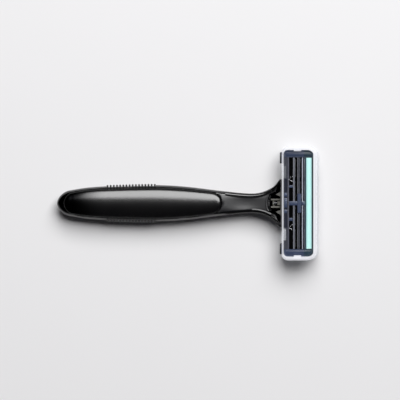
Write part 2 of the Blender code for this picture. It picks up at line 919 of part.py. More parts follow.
def makeGuard():
    """A soft strip with fins that run along the blades."""
    low = cartridgeTop - guardDepth + seatGap
    base = cartridgeTop - guardFinHeight
    pitch = guardWidth / guardFins
    outline = [(guardX + guardWidth, low), (guardX, low)]
    for i in range(guardFins):
        x = guardX + i * pitch
        outline.append((x, base))
        outline.append((x + 0.3 * pitch, cartridgeTop + 0.2 * guardFinHeight))
        outline.append((x + 0.6 * pitch, cartridgeTop + 0.2 * guardFinHeight))
        outline.append((x + 0.85 * pitch, base))
    outline[-1] = (guardX + guardWidth, base)
    half = windowWidth / 2 - seatGap
    return prism("guard_strip", [outline], -half, half, "guard_rubber", normal="Y")


def bladeEdge(i):
    return Vector((cartridgeX + bladeFirst + i * bladePitch, cartridgeTop + 0.05 * mm))


def bladeFrame():
    along = Vector((math.cos(bladeTilt), -math.sin(bladeTilt)))
    down = Vector((-math.sin(bladeTilt), -math.cos(bladeTilt)))
    return along, down


def makeBlade(i):
    along, down = bladeFrame()
    edge = bladeEdge(i)
    outline = [
        edge,
        edge + along * bladeWidth,
        edge + along * bladeWidth + down * bladeThick,
        edge + along * bladeHone + down * bladeThick,
    ]
    outline = [tuple(point) for point in outline]
    half = windowWidth / 2 - seatGap
    return prism(f"blade_{i + 1}", [outline], -half, half, "blade_steel", normal="Y")


def makeSupport(i):
    """The bent strip that carries one blade."""
    along, down = bladeFrame()
    gap = 0.05 * mm
    start = bladeEdge(i) + along * 0.4 * mm + down * (bladeThick + gap)
    bend = bladeEdge(i) + along * bladeWidth + down * (bladeThick + gap)
    floor = bridgeTop + seatGap
    outline = [
        start,
        bend,
        Vector((bend.x, floor)),
        Vector((bend.x - supportThick, floor)),
        bend + Vector((-supportThick, 0)) + down * supportThick * 0.8,
        start + down * supportThick,
    ]
    outline = [tuple(point) for point in outline]
    half = windowWidth / 2 - 2 * seatGap
    return prism(f"blade_support_{i + 1}", [outline], -half, half, "blade_steel", normal="Y")


def makeStrip():
    """A wax strip whose top falls away towards the front."""
    x0 = cartridgeX + stripStart
    x1 = x0 + stripWidth
    low = cartridgeTop - stripDepth
    high = cartridgeTop + stripStand
    outline = [
        (x0, low),
        (x1, low),
        (x1, high - 0.5 * stripDepth),
        (x1 - 0.25 * stripWidth, high - 0.16 * stripDepth),
        (x1 - 0.55 * stripWidth, high),
        (x0, high - 0.05 * stripDepth),
    ]
    half = stripLength / 2
    return prism("lubricating_strip", [outline], -half, half, "strip_mint", normal="Y")


def makeClip():
    """A small plate that holds the blades down at mid-length."""
    x0 = bladeEdge(1).x - 0.05 * mm
    x1 = x0 + clipLength
    low = cartridgeTop + 0.2 * mm
    high = low + clipThick
    clip = box("blade_clip", (x0, -clipWidth / 2, low), (x1, clipWidth / 2, high), "cartridge_navy")
    leg = box(
        "clip_leg",
        (x1 - 0.32 * mm, -clipLegWidth / 2, bridgeTop + seatGap),
        (x1 - 0.1 * mm, clipLegWidth / 2, low + 0.5 * clipThick),
    )
    combine(clip, leg, "UNION")
    return clip


# Clear cover
rearX = fromTail(coverRear)
frontX = fromTail(coverFront)
coverHalfWidth = cartridgeWidth / 2 + coverEndGap + coverWall


def coverLoop(inset, flare, z):
    """One level of the cover; only its front wall slopes outwards."""
    x1 = frontX - coverFlare + flare - inset
    half = coverHalfWidth - inset
    less = min(inset, coverRearCorner / 2)
    rear = coverRearCorner - less
    front = coverFrontCorner - less
    outline = roundedOutline(rearX + inset, x1, half, rear, front, steps=6)
    return [(x, y, z) for x, y in outline]


def coverShell(name, wall, slot=None):
    """The cover's outer form, or its hollow when wall is its thickness."""
    top = coverTop - wall
    turn = coverRoofRound
    loops = [coverLoop(wall, coverFlare, coverRim if slot else coverRim - mm)]
    loops.append(coverLoop(wall, 0.8 * coverFlare, coverRim + 1.2 * mm))
    loops.append(coverLoop(wall, 0.2 * coverFlare, top - turn - 1.0 * mm))
    for i in range(5):
        angle = math.pi / 2 * i / 4
        inset = turn * (1 - math.cos(angle))
        loops.append(coverLoop(wall + inset, 0.0, top - turn + turn * math.sin(angle)))
    return loft(name, loops, slot)


def makeCover():
    cover = coverShell("blade_cover", 0.0, "cover_clear")
    combine(cover, coverShell("cover_hollow", coverWall))
    notchTop = cartridgeTop - 0.8 * mm
    stopLow = cartridgeTop + dockGap
    stopHigh = coverTop - 0.6 * coverWall
    below = coverRim - mm
    half = armY + slideGap + lugThick + dockGap
    inner = rearX + coverWall + 0.2 * mm
    combine(cover, box("yoke_notch", (rearX - mm, -half, below), (inner, half, notchTop)))
    for side, sign in (("left", 1), ("right", -1)):
        reach = tabLength / 2 + dockGap
        y0, y1 = sorted((sign * (tabMiddle - reach), sign * (tabMiddle + reach)))
        combine(cover, box(f"tab_notch_{side}", (rearX - mm, y0, below), (inner, y1, notchTop)))
        x0 = rearX + 0.6 * coverWall
        y0, y1 = sorted((sign * rearStopNear, sign * rearStopFar))
        stop = box(f"rear_stop_{side}", (x0, y0, stopLow), (rearX + rearStopDepth, y1, stopHigh))
        combine(cover, stop, "UNION")
        x0 = cartridgeX + endStopSetback
        outer = coverHalfWidth - 0.6 * coverWall
        y0, y1 = sorted((sign * (coverHalfWidth - endStopDepth), sign * outer))
        stop = box(f"end_stop_{side}", (x0, y0, stopLow), (x0 + endStopLength, y1, stopHigh))
        combine(cover, stop, "UNION")
    return cover


def makeAxis(name, place, parent=None):
    axis = bpy.data.objects.new(name, None)
    axis.empty_display_size = 2 * mm
    axis.location = place
    parts.objects.link(axis)
    if parent:
        axis.parent = parent
        axis.matrix_parent_inverse = Matrix.Translation(-Vector(parent["place"]))
    axis["place"] = place
    return axis


def carry(axis, items):
    """Parent items to an axis without moving them."""
    for item in items:
        item.parent = axis
        item.matrix_parent_inverse = Matrix.Translation(-Vector(axis["place"]))


makeHandle()
makeGripCover()
makeBackPad()
makeSideGrip("side_grip_left", False)
makeSideGrip("side_grip_right", True)
makeReleaseSpring()
makeDock()
makePlungerSpring()

slideAxis = makeAxis("release_axis", (fromTail(slideStart), 0, tongueZ))
carry(slideAxis, [makeReleaseSlide()])
plungerAxis = makeAxis("plunger_axis", (plungerTip, 0, plungerZ))
carry(plungerAxis, [makePlunger()])

dockAxis = makeAxis("dock_axis", (yokeX, 0, pivotHeight))
pins = [makePivotPin("left", 1), makePivotPin("right", -1)]
carry(dockAxis, [makeYoke()] + pins)
pivotAxis = makeAxis("pivot_axis", (pivotX, 0, pivotHeight), dockAxis)
cartridge = [makeFrame(), makeGuard(), makeStrip(), makeClip()]
for i in range(bladeCount):
    cartridge += [makeBlade(i), makeSupport(i)]
carry(pivotAxis, cartridge)
coverAxis = makeAxis("cover_axis", (pivotX, 0, coverTop), pivotAxis)
carry(coverAxis, [makeCover()])
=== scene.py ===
import json
import math

import bmesh
import bpy
from mathutils import Matrix, Vector
from mathutils.bvhtree import BVHTree

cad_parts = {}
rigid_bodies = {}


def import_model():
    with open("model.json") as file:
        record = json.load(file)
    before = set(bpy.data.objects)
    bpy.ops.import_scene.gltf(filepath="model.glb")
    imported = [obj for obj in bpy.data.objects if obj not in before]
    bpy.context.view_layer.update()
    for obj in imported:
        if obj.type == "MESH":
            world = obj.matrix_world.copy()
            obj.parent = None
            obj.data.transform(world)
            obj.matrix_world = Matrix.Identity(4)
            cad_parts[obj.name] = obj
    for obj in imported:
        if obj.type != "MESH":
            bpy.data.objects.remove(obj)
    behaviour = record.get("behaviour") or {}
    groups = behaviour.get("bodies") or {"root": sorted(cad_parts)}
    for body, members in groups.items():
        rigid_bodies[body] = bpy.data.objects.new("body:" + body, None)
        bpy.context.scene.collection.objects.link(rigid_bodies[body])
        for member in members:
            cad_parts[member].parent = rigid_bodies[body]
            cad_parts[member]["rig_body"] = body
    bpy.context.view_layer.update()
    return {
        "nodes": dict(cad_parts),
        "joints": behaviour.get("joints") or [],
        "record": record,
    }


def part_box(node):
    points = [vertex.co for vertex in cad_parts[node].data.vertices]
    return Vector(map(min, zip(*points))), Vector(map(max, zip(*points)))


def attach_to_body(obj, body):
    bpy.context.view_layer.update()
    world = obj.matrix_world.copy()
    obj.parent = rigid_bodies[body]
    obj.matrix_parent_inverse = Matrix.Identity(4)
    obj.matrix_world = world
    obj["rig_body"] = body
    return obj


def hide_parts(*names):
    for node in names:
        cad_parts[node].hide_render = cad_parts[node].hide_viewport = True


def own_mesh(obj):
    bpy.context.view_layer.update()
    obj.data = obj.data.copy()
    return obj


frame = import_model()
mm = 0.001
print("frame loaded")


# Node graphs, for materials and for geometry alike

class Value:
    # one output socket; arithmetic on it adds Math nodes to its graph
    def __init__(self, graph, socket):
        self.graph = graph
        self.socket = socket

    def math(self, operation, *others):
        inputs = dict(enumerate((self, *others)))
        return self.graph.add("ShaderNodeMath", {"operation": operation}, inputs)

    def __add__(self, other):
        return self.math("ADD", other)

    def __radd__(self, other):
        return self.math("ADD", other)

    def __sub__(self, other):
        return self.math("SUBTRACT", other)

    def __rsub__(self, other):
        return self.graph.add("ShaderNodeMath", {"operation": "SUBTRACT"}, {0: other, 1: self})

    def __mul__(self, other):
        return self.math("MULTIPLY", other)

    def __rmul__(self, other):
        return self.math("MULTIPLY", other)

    def __truediv__(self, other):
        return self.math("DIVIDE", other)

    def __pow__(self, other):
        return self.math("POWER", other)

    def __mod__(self, other):
        return self.math("FLOORED_MODULO", other)

    def __abs__(self):
        return self.math("ABSOLUTE")

    def over(self, low, high):
        # 0 below low, 1 above high, smooth between
        inputs = {"Value": self, "From Min": low, "From Max": high}
        return self.graph.add("ShaderNodeMapRange", {"interpolation_type": "SMOOTHSTEP"}, inputs)

    def within(self, low, high, blur):
        # 1 from low to high, and 0 a blur further out
        return self.over(low - blur, low) * (1 - self.over(high, high + blur))


class Graph:
    def __init__(self, tree):
        self.tree = tree

    def add(self, kind, settings=None, inputs=None, output=0):
        node = self.tree.nodes.new(kind)
        for key, setting in (settings or {}).items():
            if key == "stops":
                fillRamp(node.color_ramp, setting)
            else:
                setattr(node, key, setting)
        for key, value in (inputs or {}).items():
            for source in value if isinstance(value, list) else [value]:
                if isinstance(source, Value):
                    self.tree.links.new(source.socket, node.inputs[key])
                else:
                    node.inputs[key].default_value = source
        return Value(self, node.outputs[output]) if len(node.outputs) else node

    def separate(self, vector):
        return [self.add("ShaderNodeSeparateXYZ", None, {0: vector}, axis) for axis in range(3)]


def fillRamp(ramp, stops):
    while len(ramp.elements) < len(stops):
        ramp.elements.new(0.5)
    for element, (place, color) in zip(ramp.elements, stops):
        element.position = place
        element.color = color


def newMaterial(name):
    material = bpy.data.materials.new(name)
    material.use_nodes = True
    material.node_tree.nodes.clear()
    return material, Graph(material.node_tree)


def textureSpace(graph, output="Object"):
    return graph.add("ShaderNodeTexCoord", None, None, output)


def objectPlace(graph):
    return graph.separate(textureSpace(graph))


def noise(graph, size, detail=3.0, stretch=(1, 1, 1)):
    # grain with features about size metres across, longer where stretch is large
    scale = tuple(1 / (size * s) for s in stretch)
    mapped = graph.add("ShaderNodeVectorMath", {"operation": "MULTIPLY"}, {0: textureSpace(graph), 1: scale})
    inputs = {"Vector": mapped, "Scale": 1.0, "Detail": detail, "Roughness": 0.55}
    return graph.add("ShaderNodeTexNoise", None, inputs, "Fac")


def mixColor(graph, factor, first, second):
    first, second = ((*color, 1) if isinstance(color, tuple) else color for color in (first, second))
    return graph.add("ShaderNodeMix", {"data_type": "RGBA"}, {0: factor, 6: first, 7: second}, 2)


def bump(graph, height, distance):
    return graph.add("ShaderNodeBump", None, {"Height": height, "Distance": distance, "Strength": 1.0})


def finish(graph, inputs):
    shader = graph.add("ShaderNodeBsdfPrincipled", None, inputs)
    graph.add("ShaderNodeOutputMaterial", None, {"Surface": shader})


# Mesh helpers: a finished piece sits at the origin with its place in its mesh

def formOf(item, spent=False):
    # an item's mesh, ready to change; a spent item is removed
    form = bmesh.new()
    form.from_mesh(item.data)
    if spent:
        bpy.data.objects.remove(item)
    return form


def newObject(name, form, recalculate=True):
    if recalculate:
        bmesh.ops.recalc_face_normals(form, faces=form.faces)
        if form.calc_volume(signed=True) < 0:
            bmesh.ops.reverse_faces(form, faces=form.faces)
    mesh = bpy.data.meshes.new(name)
    form.to_mesh(mesh)
    form.free()
    item = bpy.data.objects.new(name, mesh)
    bpy.context.scene.collection.objects.link(item)
    return item


def merged(item):
    # the same piece with its doubles merged and its faces pointing out
    name = item.name
    form = formOf(item, spent=True)
    bmesh.ops.remove_doubles(form, verts=form.verts, dist=0.001 * mm)
    return newObject(name, form)


def applyModifiers(item):
    # the evaluated mesh takes the place of the mesh and its modifiers
    bpy.context.view_layer.update()
    graph = bpy.context.evaluated_depsgraph_get()
    mesh = bpy.data.meshes.new_from_object(item.evaluated_get(graph))
    item.modifiers.clear()
    item.data = mesh
    return item


def cut(item, tool, operation="DIFFERENCE"):
    modifier = item.modifiers.new("cut", "BOOLEAN")
    modifier.operation = operation
    modifier.solver = "EXACT"
    modifier.object = tool
    applyModifiers(item)
    bpy.data.objects.remove(tool)
    return item


def soften(item, width, segments=3, angle=30):
    modifier = item.modifiers.new("soften", "BEVEL")
    modifier.width = width
    modifier.segments = segments
    modifier.limit_method = "ANGLE"
    modifier.angle_limit = math.radians(angle)
    modifier.use_clamp_overlap = True
    modifier.harden_normals = False
    return applyModifiers(item)


def smoothed(item, angle=32):
    item.data.shade_smooth()
    item.data.set_sharp_from_angle(angle=math.radians(angle))
    return item


def attach(item, body, slot, *nodes):
    item.data.materials.clear()
    item.data.materials.append(materials[slot])
    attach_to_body(item, body)
    if nodes:
        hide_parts(*nodes)
    return item


def skin(name, loops):
    form = bmesh.new()
    rings = [[form.verts.new(point) for point in loop] for loop in loops]
    count = len(rings[0])
    for near, far in zip(rings, rings[1:]):
        for i in range(count):
            j = (i + 1) % count
            form.faces.new((near[i], near[j], far[j], far[i]))
    form.faces.new(rings[0])
    form.faces.new(rings[-1])
    return newObject(name, form)


def slab(name, outline, low, high):
    # an outline in X and Y, given thickness along Z
    return skin(name, [[(x, y, level) for x, y in outline] for level in (low, high)])


def brick(name, low, high):
    form = bmesh.new()
    bmesh.ops.create_cube(form, size=1.0)
    for vert in form.verts:
        vert.co = [(a + b) / 2 + (b - a) * c for a, b, c in zip(low, high, vert.co)]
    return newObject(name, form)


# The handle's outline, read from its CAD solid
def handleTree():
    form = formOf(frame["nodes"]["handle_body"])
    tree = BVHTree.FromBMesh(form)
    form.free()
    return tree


def outlineHalf(tree, x):
    # the handle's greatest half width at x
    reach = 15 * mm
    rays = [Vector((x, reach, z * mm)) for z in (2.5, 3.5, 4.5, 5.5, 6.5)]
    hits = [tree.ray_cast(ray, Vector((0, -1, 0)), reach)[0] for ray in rays]
    return max([hit.y for hit in hits if hit] or [0.0])


def outlineSlope(tree, x):
    step = 0.4 * mm
    return (outlineHalf(tree, x + step) - outlineHalf(tree, x - step)) / (2 * step)


def topAt(tree, x, y):
    hit = tree.ray_cast(Vector((x, y, 20 * mm)), Vector((0, 0, -1)))[0]
    return hit.z if hit else 0.0


def fromOutline(graph, x, y, first, last):
    # how far inside the handle's outline a point lies, from x first to last; it is measured square to the
    # outline, except near the handle's ends, where the outline turns in
    tree = handleTree()
    reach = 12 * mm
    count = 32
    stops = []
    for i in range(count):
        share = i / (count - 1)
        spot = first + (last - first) * share
        slope = outlineSlope(tree, spot) if abs(spot) < last - mm else 0.0
        stops.append((share, (outlineHalf(tree, spot) / reach, 1 / math.hypot(1, slope), 0, 1)))
    ramp = graph.add("ShaderNodeValToRGB", {"stops": stops}, {"Fac": (x - first) / (last - first)})
    half, lean = graph.separate(ramp)[:2]
    return (half * reach - abs(y)) * lean


# painted shade: the near-black colour laid where shadow falls
paintedShadeBlack = (0.0008, 0.0008, 0.0011)


# Moulded plastic: slow changes of gloss over a fine texture. A place function can change the tone and the
# roughness, polish the texture away, and paint shade: a dead black that gives nothing back, laid in shadow
# gaps
def mouldedPlastic(name, color, gloss, grain=0.35 * mm, depth=0.006 * mm, specular=0.5, place=None):
    material, graph = newMaterial(name)
    cloudy = noise(graph, 9 * mm, 4.0)
    fine = noise(graph, grain, 2.0)
    light = tuple(c * 1.3 + 0.0003 for c in color)
    tone = mixColor(graph, cloudy.over(0.3, 0.7) * 0.6 + fine * 0.4, color, light)
    rough = gloss + (cloudy - 0.5) * 0.05 + (fine - 0.5) * 0.04
    texture = fine
    paintedShade = 0.0
    if place:
        tone, rough, share, paintedShade = place(graph, tone, rough)
        texture = fine * share
        # painted shade: dead black, with no reflection, wherever the place function paints shade
        tone = mixColor(graph, paintedShade, tone, paintedShadeBlack)
    finish(graph, {
        "Base Color": tone,
        "Metallic": paintedShade,
        "Roughness": rough,
        "Specular IOR Level": specular,
        "Normal": bump(graph, texture, depth),
    })
    return material


# The neck's faces are spark-textured and the rims and lips are polished; the recess, the seam beside
# the grip cover and the neck's outer edges are painted dead black as shade. Each pair is where a change
# starts and ends
handleSurface = {
    "neckStart": (-2.6 * mm, -1.8 * mm),
    "edgeStart": (0.0, 3.0 * mm),
    "pitStart": (-1.9 * mm, -0.3 * mm),
    "faceInset": (1.3 * mm, 1.7 * mm),
    "pitInset": (1.75 * mm, 2.05 * mm),
    "edgeInset": (0.68 * mm, 0.82 * mm),
    "seamInset": (1.25 * mm, 1.4 * mm),
    "seamShift": (0.55 * mm, 0.5 * mm),
    "pitFoot": (0.5 * mm, 0.8 * mm),
    "edgeFoot": (1.0 * mm, 1.6 * mm),
    "seamFoot": (3.0 * mm, 3.8 * mm),
    "faceTone": (0.010, 0.010, 0.012),
    "faceGloss": 0.32,
}


def handleFinish(graph, tone, rough):
    given = handleSurface
    x, y, z = objectPlace(graph)
    tail, forkEnd = (corner[0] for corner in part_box("handle_body"))
    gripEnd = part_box("grip_cover")[1][0]
    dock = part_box("dock_block")[0][0]
    inNeck = fromOutline(graph, x, y, gripEnd - 4 * mm, forkEnd)
    inGrip = fromOutline(graph, x, y, tail, gripEnd + 2 * mm)
    onNeck = x.over(*(gripEnd + place for place in given["neckStart"]))
    face = onNeck * inNeck.over(*given["faceInset"])
    pit = x.over(*(dock + place for place in given["pitStart"])) * inNeck.over(*given["pitInset"])
    edge = x.over(*(gripEnd + place for place in given["edgeStart"])) * (1 - inNeck.over(*given["edgeInset"]))
    # painted shade: on the side that faces the lamp, the seam's painted dead black band reaches further out
    light = y.over(-0.2 * mm, 0.2 * mm)  # the side that faces the lamp has a wider seam
    inset = (place - light * shift for place, shift in zip(given["seamInset"], given["seamShift"]))
    seam = (1 - onNeck) * inGrip.over(*inset)
    neck = face * (1 - pit)
    # painted shade: recess, outer edges and seam turn dead black above these heights
    paintedShade = pit * z.over(*given["pitFoot"]) + edge * z.over(*given["edgeFoot"])
    paintedShade = paintedShade + seam * z.over(*given["seamFoot"])
    tone = mixColor(graph, neck, tone, given["faceTone"])
    return tone, rough + neck * given["faceGloss"], neck, paintedShade.math("MINIMUM", 1.0)


# The grip cover's steep sides down in its seam are painted dead black as shade, and its shine is painted out
# towards the tail
def crownFinish(graph, tone, rough):
    x = objectPlace(graph)[0]
    lean = graph.separate(textureSpace(graph, "Normal"))[2]
    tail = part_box("grip_cover")[0][0]
    shine = x.over(tail + 3 * mm, tail + 17 * mm) * 0.98 + 0.02
    return tone, rough, 1.0, 1 - lean.over(0.62, 0.82) * shine


# The dock's rails and the keeper keep their pale khaki on top; the trough and the rest of the dock are
# painted dead black as shade
def dockFinish(graph, tone, rough):
    x, y, z = objectPlace(graph)
    low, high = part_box("dock_block")
    rails = abs(y).over(1.15 * mm, 1.25 * mm)
    ahead = x.over(low[0] + 0.75 * mm, low[0] + 0.8 * mm)
    crest = z.over(high[2] - 0.55 * mm, high[2] - 0.40 * mm) * rails.math("MAXIMUM", ahead)
    crest = crest * (1 - abs(y).over(1.75 * mm, 1.85 * mm))
    return tone, rough, crest, 1 - crest


# The two wedges on the yoke's bar are a lighter shot of plastic
def wedgeFinish(graph, tone, rough):
    x, y = objectPlace(graph)[:2]
    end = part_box("yoke")[0][0] + 2.2 * mm
    wedge = (1 - x.over(end - 0.05 * mm, end + 0.05 * mm)) * (1 - abs(y).over(4.9 * mm, 5.1 * mm))
    return mixColor(graph, wedge, tone, (0.15, 0.146, 0.134)), rough + wedge * 0.08, wedge, 0.0


# Down in the window the tray is painted almost black as shade, and its grain is smoothed away; the ledge and
# the rail beside it are paler
def trayFinish(graph, tone, rough):
    x, y, z = objectPlace(graph)
    rear, side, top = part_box("guard_strip")[1]
    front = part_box("lubricating_strip")[0][0]
    inWindow = 1 - abs(y).over(side, side + 0.2 * mm)
    deep = (1 - z.over(top - 1.7 * mm, top - 0.6 * mm)) * x.over(rear + 0.1 * mm, rear + 0.5 * mm)
    ledge = x.within(rear - 0.05 * mm, rear + 0.65 * mm, 0.1 * mm) * inWindow * (1 - deep)
    rail = x.within(front - 0.80 * mm, front - 0.45 * mm, 0.05 * mm) * inWindow
    # painted shade: towards the strip the navy turns a dark teal, for the strip's shadow tinted by mint light
    # thrown off the strip
    paintedStripShade = x.over(front - 1.2 * mm, front - 0.5 * mm)
    tone = mixColor(graph, paintedStripShade, tone, (0.011, 0.032, 0.052))
    tone = mixColor(graph, ledge, tone, (0.070, 0.072, 0.098))
    tone = mixColor(graph, rail, tone, (0.075, 0.105, 0.150))
    return tone, rough, 1 - deep, deep


# The guard is darkest along its middle
def guardFinish(graph, tone):
    y = objectPlace(graph)[1]
    return mixColor(graph, 1 - abs(y).over(9.6 * mm, 9.9 * mm), tone, (0.010, 0.013, 0.030))


# Soft grip: matt, with a pebbled skin and a dusty bloom on top of the pebbles
def softGrip(name, color, pebble, depth, gloss, specular, place=None):
    material, graph = newMaterial(name)
    inputs = {"Vector": textureSpace(graph), "Scale": 1 / pebble}
    cells = graph.add("ShaderNodeTexVoronoi", {"feature": "SMOOTH_F1"}, inputs, "Distance")
    bloom = noise(graph, 4 * mm, 3.0)
    tone = mixColor(graph, (1 - cells) * 0.5 + bloom * 0.5, color, tuple(c * 1.8 + 0.004 for c in color))
    if place:
        tone = place(graph, tone)
    finish(graph, {
        "Base Color": tone,
        "Roughness": gloss + (bloom - 0.5) * 0.16,
        "Specular IOR Level": specular,
        "Normal": bump(graph, 1 - cells, depth),
    })
    return material


# Drawn steel, with its grain along X
def steel(name, color, gloss, grain):
    material, graph = newMaterial(name)
    lines = noise(graph, grain, 3.0, (40, 1, 1))
    stains = noise(graph, 3 * mm, 3.0)
    tone = mixColor(graph, lines * 0.6 + stains * 0.4, tuple(c * 0.72 for c in color), color)
    finish(graph, {
        "Base Color": tone,
        "Metallic": 1.0,
        "Roughness": gloss + (lines - 0.5) * 0.22 + (stains - 0.5) * 0.1,
        "Normal": bump(graph, lines, 0.003 * mm),
    })
    return material


# Blade steel: a ground body painted near black as shade, and a honed bevel along each cutting edge painted
# brighter as a highlight, brightest on the front blade; the blades ahead of the rearmost carry a paler
# painted band further back
def bladeSteel(name):
    material, graph = newMaterial(name)
    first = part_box("blade_1")[0][0]
    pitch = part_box("blade_2")[0][0] - first
    x, y = objectPlace(graph)[:2]
    fromEdge = (x - first) % pitch
    rearmost = 1 - x.over(first + 0.5 * pitch, first + 0.6 * pitch)
    bevel = 1 - (fromEdge - rearmost * 0.34 * mm).over(0.30 * mm, 0.36 * mm)
    back = fromEdge.over(0.62 * mm, 0.70 * mm) * (1 - rearmost)
    front = x.over(first + 1.5 * pitch, first + 1.6 * pitch)
    along = abs((y / (2.4 * mm)) % 1.0 - 0.5)
    weld = (1 - along.over(0.03, 0.05)) * fromEdge.over(0.46 * mm, 0.5 * mm) * (1 - back) * (1 - bevel)
    lines = noise(graph, 0.12 * mm, 3.0, (1, 60, 1))
    film = noise(graph, 2.2 * mm, 4.0)
    # painted light: the steel's tone is set blade by blade, dark for shade and bright for highlight
    ground = mixColor(graph, lines, (0.004, 0.0045, 0.006), (0.012, 0.013, 0.016))
    ground = mixColor(graph, back, ground, (0.15, 0.16, 0.20))
    edge = mixColor(graph, front, (0.26, 0.27, 0.31), (0.62, 0.65, 0.76))
    tone = mixColor(graph, bevel, ground, edge)
    finish(graph, {
        "Base Color": mixColor(graph, weld * 0.5, tone, (0.12, 0.11, 0.11)),
        "Metallic": 1.0 - weld * 0.3,
        "Roughness": 0.40 + bevel * 0.08 + (lines - 0.5) * 0.2 + (film - 0.5) * 0.12,
        "Normal": bump(graph, lines + weld * 2.0, 0.003 * mm),
    })
    return material


# Lubricating strip: waxy, faintly mottled, with pale specks of the soluble grain, and painted shade towards
# its rear and front edges
def waxStrip(name):
    material, graph = newMaterial(name)
    mottle = noise(graph, 1.1 * mm, 4.0)
    specks = noise(graph, 0.16 * mm, 2.0).over(0.66, 0.74)
    x = objectPlace(graph)[0]
    low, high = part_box("lubricating_strip")
    # painted shade: the strip darkens towards its rear and front edges
    edge = 1 - (x - low[0]).over(0.1 * mm, 0.7 * mm) + (x - high[0]).over(-0.9 * mm, -0.3 * mm)
    body = mixColor(graph, mottle, (0.48, 0.85, 0.80), (0.56, 0.92, 0.875))
    body = mixColor(graph, edge * 0.35, body, (0.36, 0.66, 0.68))
    finish(graph, {
        "Base Color": mixColor(graph, specks * 0.5, body, (0.80, 1.0, 0.96)),
        "Roughness": 0.50 + (mottle - 0.5) * 0.2,
        "Specular IOR Level": 0.4,
        "Subsurface Weight": 0.12,
        "Subsurface Radius": (0.4 * mm, 0.9 * mm, 0.8 * mm),
        "Subsurface Scale": 1.0,
        "Normal": bump(graph, mottle + specks * 0.6, 0.02 * mm),
    })
    return material


# Clear cover: see-through, with a painted glow, given by emission and a whiter film, round its roof's rim and
# where a bend or stop would gather the light
def clearPlastic(name):
    material, graph = newMaterial(name)
    ripple = noise(graph, 5 * mm, 2.0)
    scuffs = noise(graph, 0.6 * mm, 3.0, (6, 1, 1)).over(0.64, 0.78)
    normal = bump(graph, ripple, 0.02 * mm)
    facing = graph.add("ShaderNodeLayerWeight", None, {"Blend": 0.5, "Normal": normal}, "Facing")
    glow = graph.add("ShaderNodeAttribute", {"attribute_name": "glow"}, None, "Fac")
    x, y, z = objectPlace(graph)
    low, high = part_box("blade_cover")
    rear, front, side, corner = low[0] + 0.55 * mm, high[0] - 2.55 * mm, high[1] - 1.4 * mm, 1.8 * mm
    besideX = (abs(x - (rear + front) / 2) - (front - rear) / 2 + corner).math("MAXIMUM", 0.0)
    besideY = (abs(y) - side + corner).math("MAXIMUM", 0.0)
    outside = (besideX * besideX + besideY * besideY).math("SQRT") - corner
    rim = outside.over(-0.30 * mm, 0.20 * mm) * z.over(high[2] - 1.5 * mm, high[2] - 0.6 * mm)
    # painted glow: the whole cover emits a little light, more where the glow is, and it shows more where it
    # is seen edge-on
    paintedGlow = glow.math("MAXIMUM", rim * 0.72)
    veil = paintedGlow * 0.9 + facing ** 3.0 * 0.5 + scuffs * 0.008 + 0.001
    finish(graph, {
        "Base Color": mixColor(graph, paintedGlow, (0.60, 0.62, 0.66), (0.13, 0.13, 0.14)),
        "Roughness": 0.12 + scuffs * 0.2 + glow * 0.1,
        "Specular IOR Level": 0.5,
        "Emission Color": mixColor(graph, paintedGlow.over(0.0, 0.5), (0.26, 0.27, 0.29), (0.63, 0.635, 0.67)),
        "Emission Strength": 1.0,
        "Alpha": veil.math("MINIMUM", 1.0),
        "Normal": normal,
    })
    return material


materials = {
    "handle_black": mouldedPlastic(
        "satinBlack", (0.0030, 0.0030, 0.0036), 0.15, 0.30 * mm, 0.006 * mm, 0.8, handleFinish),
    "grip_black": mouldedPlastic(
        "glossBlack", (0.0012, 0.0012, 0.0015), 0.24, 0.25 * mm, 0.0006 * mm, 1.0, crownFinish),
    "grip_rubber": softGrip("softBlack", (0.002, 0.002, 0.0025), 0.28 * mm, 0.004 * mm, 0.34, 0.8),
    "mechanism_grey": mouldedPlastic("darkKhaki", (0.125, 0.122, 0.108), 0.45, place=dockFinish),
    "yoke_black": mouldedPlastic("yokeBlack", (0.004, 0.004, 0.005), 0.34, place=wedgeFinish),
    "spring_steel": steel("springSteel", (0.62, 0.63, 0.66), 0.26, 0.10 * mm),
    "blade_steel": bladeSteel("bladeSteel"),
    "cartridge_navy": mouldedPlastic(
        "navy", (0.027, 0.040, 0.082), 0.36, 0.25 * mm, 0.008 * mm, 0.5, trayFinish),
    "guard_rubber": softGrip(
        "guardNavy", (0.040, 0.042, 0.056), 0.16 * mm, 0.006 * mm, 0.6, 0.35, guardFinish),
    "strip_mint": waxStrip("mintWax"),
    "cover_clear": clearPlastic("clearPlastic"),
}
slotOf = {entry["node"]: entry["material_slot"] for entry in frame["record"]["subparts"]}
print("materials ready")


# Geometry trees: each has named inputs, set on the modifier by their identifiers

